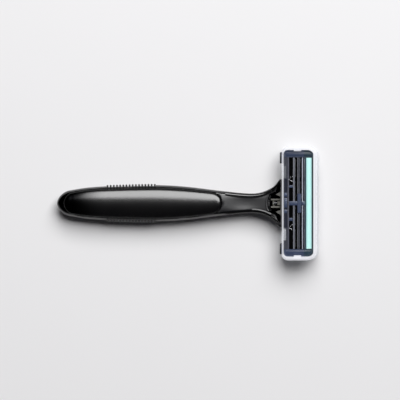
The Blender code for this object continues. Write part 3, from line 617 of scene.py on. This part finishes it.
class Tree(Graph):
    kinds = {float: "NodeSocketFloat", int: "NodeSocketInt", tuple: "NodeSocketVector"}

    def __init__(self, name, sizes):
        super().__init__(bpy.data.node_groups.new(name, "GeometryNodeTree"))
        face = self.tree.interface
        face.new_socket(name="Geometry", in_out="OUTPUT", socket_type="NodeSocketGeometry")
        face.new_socket(name="Geometry", in_out="INPUT", socket_type="NodeSocketGeometry")
        self.sizes = sizes
        self.identifiers = {}
        for key, size in sizes.items():
            socket = face.new_socket(name=key, in_out="INPUT", socket_type=self.kinds[type(size)])
            self.identifiers[key] = socket.identifier
        self.entry = self.add("NodeGroupInput").socket.node

    def given(self, key="Geometry"):
        return Value(self, self.entry.outputs[key])

    def vector(self, x=0.0, y=0.0, z=0.0):
        return self.add("ShaderNodeCombineXYZ", None, {0: x, 1: y, 2: z})

    def bar(self, ends, width, height, corner, count, upright=False):
        # a straight bar with rounded edges
        spine = self.add("GeometryNodeCurvePrimitiveLine", None, ends)
        if upright:
            spine = self.add("GeometryNodeSetCurveNormal", {"mode": "Z_UP"}, {"Curve": spine})
        sides = {"Width": width, "Height": height}
        outline = self.add("GeometryNodeCurvePrimitiveQuadrilateral", None, sides)
        rounding = {"Curve": outline, "Count": count, "Radius": corner}
        outline = self.add("GeometryNodeFilletCurve", {"mode": "POLY"}, rounding)
        return self.swept(spine, outline)

    def swept(self, spine, outline):
        inputs = {"Curve": spine, "Profile Curve": outline, "Fill Caps": True}
        return self.add("GeometryNodeCurveToMesh", None, inputs)

    def circle(self, resolution, radius):
        inputs = {"Resolution": resolution, "Radius": radius}
        return self.add("GeometryNodeCurvePrimitiveCircle", None, inputs)

    def placed(self, inputs):
        placed = self.add("GeometryNodeInstanceOnPoints", None, inputs)
        return self.add("GeometryNodeRealizeInstances", None, {0: placed})

    def attribute(self, name):
        return self.add("GeometryNodeInputNamedAttribute", {"data_type": "FLOAT"}, {"Name": name})

    def make(self, name, result, slot, form=None):
        # runs the tree on a base mesh and keeps the result as a plain mesh
        result = self.add("GeometryNodeRealizeInstances", None, {0: result})
        result = self.add("GeometryNodeSetMaterial", None, {"Geometry": result, "Material": materials[slot]})
        self.add("NodeGroupOutput", None, {0: result})
        item = newObject(name, form or bmesh.new(), recalculate=False)
        modifier = item.modifiers.new("tree", "NODES")
        modifier.node_group = self.tree
        for key, size in self.sizes.items():
            modifier[self.identifiers[key]] = size
        return applyModifiers(item)


def refined(node, width):
    # a CAD node's copy with its doubles merged, its flat faces joined and its edges eased
    form = formOf(frame["nodes"][node])
    bmesh.ops.remove_doubles(form, verts=form.verts, dist=0.002 * mm)
    bmesh.ops.dissolve_limit(form, angle_limit=math.radians(0.5), verts=form.verts, edges=form.edges)
    item = newObject(node + "Fine", form, recalculate=False)
    if width:
        soften(item, width, 2)
    smoothed(item)
    weight = item.modifiers.new("weight", "WEIGHTED_NORMAL")
    weight.keep_sharp = True
    applyModifiers(item)
    attach(item, frame["nodes"][node]["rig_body"], slotOf[node], node)


for node, item in frame["nodes"].items():
    item.data.materials.clear()
    item.data.materials.append(materials[slotOf[node]])

easing = dict.fromkeys(("dock_block", "pivot_plunger", "release_slide", "yoke"), 0.07 * mm)
easing.update(dict.fromkeys(("handle_body", "back_grip"), 0.0))
easing.update(dict.fromkeys(("cartridge_frame", "blade_clip"), 0.05 * mm))
easing.update(dict.fromkeys(("pivot_pin_left", "pivot_pin_right"), 0.0))
for i in (1, 2, 3):
    easing[f"blade_{i}"] = easing[f"blade_support_{i}"] = 0.0
for node, width in easing.items():
    refined(node, width)
print("mechanism and cartridge refined")


# Grip cover: one crowned skin, whose every point follows from its station and its share of the arch
crown = {
    "stations": 150,
    "around": 64,
    "fullness": 0.9,
}


def coverSlices():
    # half width, edge, top and floor of each CAD slice
    slices = {}
    for vert in frame["nodes"]["grip_cover"].data.vertices:
        slices.setdefault(round(vert.co.x / mm, 2), []).append(vert.co)
    rows = []
    for place in sorted(slices):
        points = slices[place]
        half = max(abs(p.y) for p in points)
        edge = max(p.z for p in points if abs(p.y) > half - 0.01 * mm)
        top = max(p.z for p in points)
        floor = min(p.z for p in points)
        rows.append((place * mm, half, edge, top - edge, floor))
    return rows


def between(rows, x):
    # the row at x, on a smooth curve through its neighbours
    last = len(rows) - 1
    i = max([k for k in range(last) if rows[k][0] <= x] or [0])
    near, far = rows[i], rows[i + 1]
    span = far[0] - near[0]
    t = min(max((x - near[0]) / span, 0.0), 1.0)
    before, after = rows[max(i - 1, 0)], rows[min(i + 2, last)]
    result = [x]
    for k in range(1, len(near)):
        leanNear = (far[k] - before[k]) / (far[0] - before[0])
        leanFar = (after[k] - near[k]) / (after[0] - near[0])
        rise = (2 * t**3 - 3 * t**2 + 1) * near[k] + (3 * t**2 - 2 * t**3) * far[k]
        lean = (t**3 - 2 * t**2 + t) * leanNear + (t**3 - t**2) * leanFar
        result.append(rise + span * lean)
    return result


def makeGripCover():
    rows = coverSlices()
    first, last = rows[0][0], rows[-1][0]
    form = bmesh.new()
    names = ("half", "edge", "rise", "floor")
    layers = [form.verts.layers.float.new(name) for name in names]
    count = crown["stations"]
    for i in range(count):
        share = (1 - math.cos(math.pi * i / (count - 1))) / 2
        share = 0.5 * share + 0.5 * i / (count - 1)
        row = between(rows, first + (last - first) * share)
        vert = form.verts.new((row[0], 0, 0))
        if i in (0, count - 1):
            row[1] = 0.0
        for layer, value in zip(layers, row[1:]):
            vert[layer] = value

    tree = Tree("crownTree", {"Stations": count, "Around": crown["around"], "Fullness": crown["fullness"]})
    around = tree.given("Around")
    counts = {"Vertices X": tree.given("Stations"), "Vertices Y": around}
    grid = tree.add("GeometryNodeMeshGrid", None, counts)
    index = tree.add("GeometryNodeInputIndex")
    station = tree.add("ShaderNodeMath", {"operation": "FLOOR"}, {0: index / around + 0.001})
    step = index - station * around

    def sample(value, kind="FLOAT"):
        inputs = {"Geometry": tree.given(), "Value": value, "Index": station}
        return tree.add("GeometryNodeSampleIndex", {"data_type": kind}, inputs)

    along = tree.separate(sample(tree.add("GeometryNodeInputPosition"), "FLOAT_VECTOR"))[0]
    half, edge, rise, floor = (sample(tree.attribute(name)) for name in names)
    angle = ((step - 1) / (around - 3)).math("MAXIMUM", 0.0).math("MINIMUM", 1.0) * math.pi
    arch = angle.math("SINE").math("MAXIMUM", 0.0) ** tree.given("Fullness")
    onArch = step.math("GREATER_THAN", 0.5) * (around - 1.5).math("GREATER_THAN", step)
    y = half * angle.math("COSINE")
    z = floor + (edge + rise * arch - floor) * onArch
    point = tree.vector(along, y, z)
    surface = tree.add("GeometryNodeSetPosition", None, {"Geometry": grid, "Position": point})
    surface = tree.add("GeometryNodeMergeByDistance", None, {"Geometry": surface, "Distance": 0.002 * mm})
    form = formOf(tree.make("gripCrown", surface, "grip_black", form), spent=True)
    bmesh.ops.holes_fill(form, edges=[e for e in form.edges if e.is_boundary], sides=0)
    attach(smoothed(newObject("gripCrown", form), 40), "handle", "grip_black", "grip_cover")


makeGripCover()
print("grip cover made")


# Lips: low rolled edges that follow the neck, the fork and the back of its recess
lips = {
    "width": 0.80 * mm,
    "height": 0.42 * mm,
    "inset": 1.20 * mm,
    "sink": 0.06 * mm,
    "lowest": 3.0 * mm,
    "ends": {"lipLeft": (1, 1.5 * mm), "lipRight": (-1, 12 * mm)},  # side, and start past the grip cover
    "tipGap": 0.9 * mm,
    "steps": 60,
    "arcs": (1.05 * mm, 0.05 * mm),
    "arcGap": 0.8 * mm,
    "arcBow": 1.3 * mm,
    "arcHalf": 3.1 * mm,
    "arcSweep": 78,
    "arcScale": (0.5, 0.7),
}


def eased(path, passes=12):
    # a path with its small steps smoothed out and its ends kept
    for turn in range(passes):
        threes = zip(path, path[1:], path[2:])
        middle = [tuple((a + 2 * b + c) / 4 for a, b, c in zip(*three)) for three in threes]
        path = [path[0], *middle, path[-1]]
    return path


def makeLip(name, path, width, height):
    form = bmesh.new()
    verts = [form.verts.new(point) for point in path]
    for near, far in zip(verts, verts[1:]):
        form.edges.new((near, far))
    tree = Tree(name + "Tree", {"Width": width, "Height": height, "Points": 120})
    curve = tree.add("GeometryNodeMeshToCurve", None, {0: tree.given()})
    curve = tree.add("GeometryNodeCurveSplineType", {"spline_type": "CATMULL_ROM"}, {"Curve": curve})
    curve = tree.add("GeometryNodeResampleCurve", None, {"Curve": curve, "Count": tree.given("Points")})
    curve = tree.add("GeometryNodeSetCurveNormal", {"mode": "Z_UP"}, {"Curve": curve})
    share = tree.add("GeometryNodeSplineParameter")
    taper = share.over(0.0, 0.06) * (1 - share.over(0.94, 1.0)) * 0.85 + 0.15
    curve = tree.add("GeometryNodeSetCurveRadius", None, {"Curve": curve, "Radius": taper})
    scale = tree.vector(tree.given("Width"), tree.given("Height"), 1.0)
    oval = tree.add("GeometryNodeTransform", None, {"Geometry": tree.circle(20, 1.0), "Scale": scale})
    item = tree.make(name, tree.swept(curve, oval), "handle_black", form)
    return attach(smoothed(merged(item), 60), "handle", "handle_black")


def makeLips():
    satinLip = mouldedPlastic("satinLip", (0.012, 0.012, 0.014), 0.47, 0.30 * mm, 0.006 * mm, 0.8)
    tree = handleTree()
    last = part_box("handle_body")[1][0] - lips["tipGap"]
    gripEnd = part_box("grip_cover")[1][0]
    for name, (side, start) in lips["ends"].items():
        first = gripEnd + start
        path = []
        for i in range(lips["steps"] + 1):
            x = first + (last - first) * i / lips["steps"]
            slope = outlineSlope(tree, x)
            inset = lips["inset"] / math.hypot(1, slope)
            y = side * (outlineHalf(tree, x) - inset)
            x += inset * slope
            top = topAt(tree, x, y)
            if top > lips["lowest"] and x < last:
                path.append((x, y, top - lips["sink"]))
        makeLip(name, eased(path), lips["width"], lips["height"])
    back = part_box("dock_block")[0][0] - lips["arcGap"]
    for i, away in enumerate(lips["arcs"]):
        path = []
        for k in range(-12, 13):
            angle = math.radians(lips["arcSweep"] * k / 12)
            y = lips["arcHalf"] * math.sin(angle)
            x = back - away + lips["arcBow"] * (1 - math.cos(angle))
            path.append((x, y, topAt(tree, x, y) - lips["sink"]))
        wide, high = lips["arcScale"]
        arc = makeLip(f"recessLip{i}", path, lips["width"] * wide, lips["height"] * high)
        arc.data.materials[0] = satinLip


makeLips()


# Spring keeper: a small bracket that straddles the plunger's spring between the rails
def makeKeeper():
    low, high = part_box("dock_block")
    x0 = low[0] + 0.85 * mm
    parts = [((x0, -0.95 * mm, high[2] - 0.32 * mm), (x0 + 0.38 * mm, 0.95 * mm, high[2] - 0.02 * mm))]
    for sign in (1, -1):
        y0, y1 = sorted((sign * 0.72 * mm, sign * 0.95 * mm))
        parts.append(((x0, y0, low[2] + 0.8 * mm), (x0 + 0.38 * mm, y1, high[2] - 0.1 * mm)))
        parts.append(((x0 + 0.2 * mm, y0, high[2] - 0.3 * mm), (x0 + 0.75 * mm, y1, high[2] - 0.04 * mm)))
    keeper = brick("springKeeper", *parts[0])
    for i, part in enumerate(parts[1:]):
        cut(keeper, brick(f"keeperPart{i}", *part), "UNION")
    soften(keeper, 0.04 * mm, 2)
    attach(smoothed(keeper, 35), "handle", "mechanism_grey")


makeKeeper()
print("lips and keeper made")


# Side grips: rounded ribs that stand on a curved strip
ribs = {
    "count": 16,
    "thick": 0.62 * mm,
    "depth": 1.15 * mm,
    "round": 0.12 * mm,
    "root": 1.0 * mm,
    "strip": 0.55 * mm,
    "rise": 0.42,
}


def makeSideRibs(node, name):
    low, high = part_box(node)
    side = 1 if high[1] > 0 else -1
    verts = [vert.co for vert in frame["nodes"][node].data.vertices]
    pitch = (high[0] - low[0] - ribs["thick"]) / (ribs["count"] - 1)
    tips = []
    for i in range(ribs["count"]):
        x = low[0] + ribs["thick"] / 2 + i * pitch
        tips.append((x, max(abs(v.y) for v in verts if abs(v.x - x) < ribs["thick"] / 2)))
    outer = [(low[0], tips[0][1] - ribs["root"])]
    outer += [(x, y - ribs["root"]) for x, y in tips]
    outer += [(high[0], tips[-1][1] - ribs["root"])]
    inner = [(x, y - ribs["strip"]) for x, y in reversed(outer)]
    outline = [(x, side * y) for x, y in outer + inner]
    strip = soften(slab(name + "Strip", outline, low[2], high[2]), 0.08 * mm, 2)
    form = formOf(strip, spent=True)
    isTip = form.verts.layers.float.new("tip")
    middle = (low[2] + high[2]) / 2
    for x, y in tips:
        vert = form.verts.new((x, side * (y - ribs["depth"] / 2), middle))
        vert[isTip] = 1.0

    sizes = {"Thick": ribs["thick"], "Depth": ribs["depth"], "Height": high[2] - low[2],
             "Round": ribs["round"]}
    tree = Tree(name + "Tree", sizes)
    half = tree.given("Height") * 0.5
    ends = {"Start": tree.vector(z=half * -1), "End": tree.vector(z=half)}
    rib = tree.bar(ends, tree.given("Thick"), tree.given("Depth"), tree.given("Round"), 5)
    spot = tree.separate(tree.add("GeometryNodeInputPosition"))
    slant = tree.vector(z=spot[1] * side * ribs["rise"])
    raised = {"Geometry": rib, "Selection": spot[2].math("GREATER_THAN", 0.0), "Offset": slant}
    rib = tree.add("GeometryNodeSetPosition", None, raised)
    isolated = tree.attribute("tip").math("GREATER_THAN", 0.5)
    placed = tree.placed({"Points": tree.given(), "Selection": isolated, "Instance": rib})
    inputs = {"Geometry": tree.given(), "Selection": isolated}
    base = tree.add("GeometryNodeDeleteGeometry", {"domain": "POINT"}, inputs)
    both = tree.add("GeometryNodeJoinGeometry", None, {0: [base, placed]})
    item = tree.make(name, both, "grip_rubber", form)
    attach(smoothed(merged(item), 40), "handle", "grip_rubber", node)


makeSideRibs("side_grip_left", "ribsLeft")
makeSideRibs("side_grip_right", "ribsRight")
print("side grips made")


# Springs: a wound wire
springs = {
    "plunger_spring": {"turns": 5.0, "wire": 0.2 * mm, "squashedBy": "plunger_slide"},
    "release_spring": {"turns": 6.0, "wire": 0.2 * mm},
}


def makeSpring(node, turns, wire, squashedBy=None):
    low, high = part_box(node)
    free = high[0] - low[0]
    sizes = {"Turns": turns, "Radius": (high[2] - low[2] - wire) / 2, "Length": free - wire, "Wire": wire / 2}
    tree = Tree(node + "Tree", sizes)
    inputs = {"Resolution": 48, "Rotations": tree.given("Turns"), "Start Radius": tree.given("Radius"),
              "End Radius": tree.given("Radius"), "Height": tree.given("Length")}
    helix = tree.add("GeometryNodeCurveSpiral", None, inputs)
    turned = {"Geometry": helix, "Rotation": (0, math.pi / 2, 0),
              "Translation": (low[0] + wire / 2, (low[1] + high[1]) / 2, (low[2] + high[2]) / 2)}
    helix = tree.add("GeometryNodeTransform", None, turned)
    item = tree.make(node + "Coil", tree.swept(helix, tree.circle(10, tree.given("Wire"))), "spring_steel")
    coil = attach(smoothed(merged(item), 50), "handle", "spring_steel", node)
    if squashedBy:
        travel = next(-joint["range_m"][0] for joint in frame["joints"] if joint["name"] == squashedBy)
        (free - travel) / free
        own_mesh(coil)


for node, sizes in springs.items():
    makeSpring(node, **sizes)
print("springs wound")


# Guard: soft fins that run beside the blades
guard = {
    "fins": 4,
    "gap": 0.12 * mm,
    "height": 0.55 * mm,
    "round": 0.09 * mm,
}


def makeGuard():
    low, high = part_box("guard_strip")
    pitch = (high[0] - low[0]) / guard["fins"]
    top = high[2]
    base = brick("guardBase", low, (high[0], high[1], top - guard["height"] * 0.6))
    sizes = {"Fins": guard["fins"], "Pitch": pitch, "Width": pitch - guard["gap"],
             "Height": guard["height"], "Length": high[1] - low[1], "Round": guard["round"]}
    tree = Tree("guardTree", sizes)
    half = tree.given("Length") * 0.5
    ends = {"Start": tree.vector(y=half * -1), "End": tree.vector(y=half)}
    fin = tree.bar(ends, tree.given("Width"), tree.given("Height"), tree.given("Round"), 4, upright=True)
    row = tree.add("GeometryNodeMeshLine", None, {
        "Count": tree.given("Fins"),
        "Start Location": (low[0] + pitch / 2, 0, top - guard["height"] / 2),
        "Offset": tree.vector(x=tree.given("Pitch"))})
    placed = tree.placed({"Points": row, "Instance": fin})
    both = tree.add("GeometryNodeJoinGeometry", None, {0: [tree.given(), placed]})
    item = tree.make("guardFins", both, "guard_rubber", formOf(base, spent=True))
    attach(smoothed(merged(item), 40), "cartridge", "guard_rubber", "guard_strip")


makeGuard()
print("guard made")


# Small mouldings and wires on the tray. A span is a middle and a length along Y, in millimetres
tray = {
    "blocks": ((0.2, 3.8), (3.4, 1.5), (-3.25, 1.4)),
    "ribs": ((6.7, 1.0), (-6.45, 1.2)),
    "strutRoot": 9.6,
    "strutTips": (10.9, 8.5),
    "wire": 0.07 * mm,
    "window": 0.64 * mm,
    "plate": 0.22 * mm,
    "plateRear": 0.7 * mm,
    "plateFront": 0.75 * mm,
    "plateEnd": 0.7 * mm,
    "plateGap": 0.6 * mm,
    "plateCorner": 1.3 * mm,
    "bridgeHalf": 0.8 * mm,
    "pad": (16.0, 20.4),
    "padDepth": 0.5 * mm,
    "padHeights": (6.75 * mm, 7.85 * mm),
}


def joined(name, pieces, slot, width):
    # several small closed forms made one piece
    form = bmesh.new()
    for item in pieces:
        form.from_mesh(item.data)
        bpy.data.objects.remove(item)
    item = soften(newObject(name, form, recalculate=False), width, 2)
    attach(smoothed(item, 35), "cartridge", slot)


def wire(name, start, end, radius):
    # a straight round wire between two points
    along = end - start
    form = bmesh.new()
    bmesh.ops.create_cone(
        form, cap_ends=True, segments=10, radius1=radius, radius2=radius, depth=along.length)
    turn = along.to_track_quat("Z", "Y").to_matrix().to_4x4()
    bmesh.ops.transform(form, matrix=Matrix.Translation((start + end) / 2) @ turn, verts=form.verts)
    return newObject(name, form)


def across(spans):
    # the two ends, in metres, of each span
    return [((middle - length / 2) * mm, (middle + length / 2) * mm) for middle, length in spans]


def bothSides(ends):
    # a pair of places in millimetres, as spans on the left and on the right
    return [sorted(side * y * mm for y in ends) for side in (1, -1)]


def makeWindowDetails():
    # blocks on the guard, ribs and struts across the first slot, and the bridge over the blades
    low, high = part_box("guard_strip")
    top = high[2]
    window = high[0] + tray["window"]
    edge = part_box("blade_1")[0][0] - 0.1 * mm
    rear, front = low[0] + 0.05 * mm, high[0] - 0.05 * mm
    blocks = [brick(f"block{i}", (rear, y0, top - 0.2 * mm), (front, y1, top + 0.12 * mm))
              for i, (y0, y1) in enumerate(across(tray["blocks"]))]
    joined("guardBlocks", blocks, "cartridge_navy", 0.05 * mm)

    crosses = [brick(f"rib{i}", (window - 0.1 * mm, y0, top - 1.2 * mm), (edge, y1, top - 0.15 * mm))
               for i, (y0, y1) in enumerate(across(tray["ribs"]))]
    joined("slotRibs", crosses, "cartridge_navy", 0.06 * mm)

    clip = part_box("blade_clip")
    half = tray["bridgeHalf"]
    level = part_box("blade_1")[1][2]
    clear = 0.02 * mm
    spans = ((window, clip[0][0] - clear), (clip[1][0] + clear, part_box("blade_3")[1][0] + 0.1 * mm))
    bridges = [brick(f"bridge{i}", (x0, -half, level + clear), (x1, half, level + 0.2 * mm))
               for i, (x0, x1) in enumerate(spans)]
    joined("bladeBridge", bridges, "cartridge_navy", 0.05 * mm)

    struts = []
    for side in (1, -1):
        root = Vector((window - 0.1 * mm, side * tray["strutRoot"] * mm, top - 0.5 * mm))
        for k, tip in enumerate(tray["strutTips"]):
            end = Vector((edge, side * tip * mm, top - 0.5 * mm))
            struts.append(wire(f"strut{side}{k}", root, end, tray["wire"]))
    joined("slotStruts", struts, "spring_steel", 0.01 * mm)


def makeFrameDetails():
    # raised plates on the tray's ends, and pads on its rear
    guardLow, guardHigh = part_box("guard_strip")
    low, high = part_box("cartridge_frame")
    rear = guardLow[0] + tray["plateRear"]
    front = high[0] - tray["plateFront"]
    outer = high[1] - tray["plateEnd"]
    inner = guardHigh[1] + tray["plateGap"]
    corner = tray["plateCorner"]
    plate = [(rear, inner), (front, inner), (front, outer - corner),
             (front - 0.38 * corner, outer - 0.38 * corner), (front - corner, outer),
             (rear + 0.5 * corner, outer), (rear, outer - 0.5 * corner)]
    plates = []
    for side in (1, -1):
        outline = [(x, side * y) for x, y in plate]
        plates.append(slab(f"plate{side}", outline, high[2] - 0.1 * mm, high[2] + tray["plate"]))
    joined("endPlates", plates, "cartridge_navy", 0.12 * mm)

    foot, head = tray["padHeights"]
    near, far = low[0] - tray["padDepth"], low[0] + 0.1 * mm
    pads = [brick(f"pad{i}", (near, y0, foot), (far, y1, head))
            for i, (y0, y1) in enumerate(bothSides(tray["pad"]))]
    joined("rearPads", pads, "yoke_black", 0.12 * mm)


makeWindowDetails()
makeFrameDetails()
print("tray details made")


# Lubricating strip: a softly crowned bar of wax with rounded ends
strip = {
    "frontGap": 0.25 * mm,
    "endRound": 0.22 * mm,
    "endSteps": 5,
    "profile": ((0.0, 0.0), (0.0, 0.86), (0.02, 0.93), (0.07, 0.975), (0.16, 0.99), (0.30, 1.0),
                (0.46, 1.0), (0.60, 0.985), (0.74, 0.95), (0.86, 0.88), (0.94, 0.79), (0.985, 0.70),
                (1.0, 0.60), (1.0, 0.0)),
}


def makeStrip():
    low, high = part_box("lubricating_strip")
    width = high[0] - low[0] - strip["frontGap"]
    height = high[2] - low[2]
    steps = strip["endSteps"]
    loops = []
    for side in (-1, 1):
        for i in range(steps + 1):
            turn = math.pi / 2 * (i if side < 0 else steps - i) / steps
            inset = strip["endRound"] * (1 - math.sin(turn))
            y = side * (high[1] - strip["endRound"] * (1 - math.cos(math.pi / 2 - turn)))
            loops.append([
                (low[0] + max(min(u * width, width - inset), inset), y, low[2] + v * (height - inset))
                for u, v in strip["profile"]])
    attach(smoothed(skin("waxStrip", loops), 35), "cartridge", "strip_mint", "lubricating_strip")


makeStrip()
print("strip made")


# Clear cover: a thin shell with rounded roof edges, a flared front wall and stops inside
cover = {
    "wall": 0.5 * mm,
    "roofRound": 0.9 * mm,
    "rearCorner": 2.4 * mm,
    "frontCorner": 4.0 * mm,
    "flare": 1.35 * mm,
    "rimRound": 0.12 * mm,
    "tabNotch": (15.7, 20.7),
    "rearStop": (10.2, 14.8),
    "rearStopX": (0.52 * mm, 1.6 * mm),
    "endStop": 1.45 * mm,
    "endStopIn": 2.0 * mm,
    "stopDrop": 2.3 * mm,
    "rearPaintedGlow": (0.06, 0.20),
    "endPaintedGlow": 0.5,
}


def roundedLoop(x0, x1, half, rear, front, z, steps=12):
    loop = []
    corners = (((x1 - front, half - front), front, 0), ((x0 + rear, half - rear), rear, 1),
               ((x0 + rear, rear - half), rear, 2), ((x1 - front, front - half), front, 3))
    for (cx, cy), radius, quarter in corners:
        for i in range(steps + 1):
            angle = math.pi / 2 * (quarter + i / steps)
            loop.append((cx + radius * math.cos(angle), cy + radius * math.sin(angle), z))
    return loop


def makeCover():
    low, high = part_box("blade_cover")
    half = high[1]

    def level(inset, flare, z):
        less = min(inset, 1.2 * mm)
        return roundedLoop(low[0] + inset, high[0] - cover["flare"] + flare - inset, half - inset,
                           cover["rearCorner"] - less, cover["frontCorner"] - less, z)

    def wallLevels(wall, top):
        turn = cover["roofRound"]
        flare = cover["flare"]
        soft = cover["rimRound"]
        foot = low[2] + soft
        levels = [(wall + (soft if wall == 0 else -soft), flare, low[2]), (wall, flare * 0.99, foot)]
        for share in (0.15, 0.35, 0.55, 0.75, 0.9, 1.0):
            levels.append((wall, flare * (1 - share) ** 1.15, foot + (top - turn - foot) * share))
        for i in range(1, 9):
            angle = math.pi / 2 * i / 8
            levels.append((wall + turn * (1 - math.cos(angle)), 0.0, top - turn + turn * math.sin(angle)))
        return [level(*entry) for entry in levels]

    outer = wallLevels(0.0, high[2])
    inner = wallLevels(cover["wall"], high[2] - cover["wall"])
    shell = skin("coverShell", inner[::-1] + outer)
    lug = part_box("pivot_pin_left")[1][1] + 0.1 * mm
    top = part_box("cartridge_frame")[1][2] - 0.8 * mm
    for i, (y0, y1) in enumerate([(-lug, lug)] + bothSides(cover["tabNotch"])):
        far = (low[0] + cover["wall"] + 0.2 * mm, y1, top)
        cut(shell, brick(f"notch{i}", (low[0] - mm, y0, low[2] - mm), far))
    addGlow(smoothed(shell, 50), low, high)
    attach(shell, "cover", "cover_clear", "blade_cover")
    makeStops(low, high)


def share(value, start, length):
    return min(max((value - start) / length, 0.0), 1.0)


def addGlow(shell, low, high):
    # how much painted glow each point of the cover carries: most at the roof's bend, then at the open rim
    form = formOf(shell)
    form.normal_update()
    glow = form.verts.layers.float.new("glow")
    middle = Vector(((low[0] + high[0]) / 2, 0, 0))
    for vert in form.verts:
        upright = min(abs(vert.normal.z), 1.0)
        outside = vert.normal.dot(vert.co - middle) > 0
        bend = (1 - share(upright, 0.80, 0.15)) * share(vert.co.z, high[2] - 1.6 * mm, 0.8 * mm)
        rim = max(0.0, 1 - (vert.co.z - low[2]) / (0.3 * mm))
        vert[glow] = max(0.45 * bend if outside else 0.05 * bend, 0.35 * rim, 0.05 * (1 - upright))
    form.to_mesh(shell.data)
    form.free()


def makeStops(low, high):
    # small blocks under the cover's roof: two at the rear, and one at each end
    top = high[2] - cover["wall"] - 0.02 * mm
    foot = high[2] - cover["stopDrop"]
    size = cover["endStop"]
    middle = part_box("blade_clip")[0][0]
    nearX, farX = (low[0] + place for place in cover["rearStopX"])
    end = (high[1] - cover["endStopIn"]) / mm
    rears, ends = bothSides(cover["rearStop"]), bothSides((end, end + size / mm))
    stops = []
    for (y0, y1), (y2, y3), paintedGlow in zip(rears, ends, cover["rearPaintedGlow"]):
        stops.append(((nearX, y0, foot), (farX, y1, top), paintedGlow))
        stops.append(((middle - size, y2, foot), (middle + size, y3, top), cover["endPaintedGlow"]))
    for i, (near, far, paintedGlow) in enumerate(stops):
        stop = smoothed(soften(brick(f"coverStop{i}", near, far), 0.18 * mm, 3), 40)
        # painted glow: each stop glows by its own amount
        layer = stop.data.attributes.new("glow", "FLOAT", "POINT")
        layer.data.foreach_set("value", [paintedGlow] * len(stop.data.vertices))
        attach(stop, "cover", "cover_clear")


makeCover()
print("clear cover made")


# Stage, camera and lights
stage = {
    "floorSize": 3.0,
    "floorColor": (0.84, 0.835, 0.845),
    "lens": 400.0,
    "viewWidth": 160 * mm,
    "aim": (4.7 * mm, 1.3 * mm, 8 * mm),
}


def makeFloor():
    form = bmesh.new()
    bmesh.ops.create_grid(form, x_segments=2, y_segments=2, size=stage["floorSize"] / 2)
    floor = newObject("floor", form, recalculate=False)
    material, graph = newMaterial("floorPaper")
    tone = noise(graph, 30 * mm, 3.0)
    color = stage["floorColor"]
    finish(graph, {
        "Base Color": mixColor(graph, tone, tuple(c * 0.99 for c in color), color),
        "Roughness": 0.85,
        "Specular IOR Level": 0.2,
    })
    floor.data.materials.append(material)


def makeCamera():
    data = bpy.data.cameras.new("camera")
    data.lens = stage["lens"]
    data.clip_start = 0.01
    camera = bpy.data.objects.new("camera", data)
    bpy.context.scene.collection.objects.link(camera)
    away = stage["viewWidth"] / data.sensor_width * data.lens
    x, y, z = stage["aim"]
    camera.location = (x, y, z + away)
    bpy.context.scene.camera = camera


def areaLight(name, place, target, size, power):
    data = bpy.data.lights.new(name, "AREA")
    data.shape = "RECTANGLE"
    data.size, data.size_y = size
    data.energy = power
    light = bpy.data.objects.new(name, data)
    bpy.context.scene.collection.objects.link(light)
    light.visible_camera = False
    light.location = place
    light.rotation_euler = (Vector(target) - Vector(place)).to_track_quat("-Z", "Y").to_euler()


lights = {
    "softbox": ((0.25, 0.78, 1.12), (0.0, 0.0, 0.0), (1.25, 1.10), 28.2),
}


def makeWorld():
    world = bpy.data.worlds.new("world")
    world.use_nodes = True
    background = world.node_tree.nodes["Background"]
    background.inputs["Color"].default_value = (0.95, 0.92, 1.0, 1)
    background.inputs["Strength"].default_value = 0.03
    bpy.context.scene.world = world


makeFloor()
makeCamera()
makeWorld()
for name, (place, target, size, power) in lights.items():
    areaLight(name, place, target, size, power)
bpy.context.scene.view_settings.view_transform = "Standard"
print("stage set")
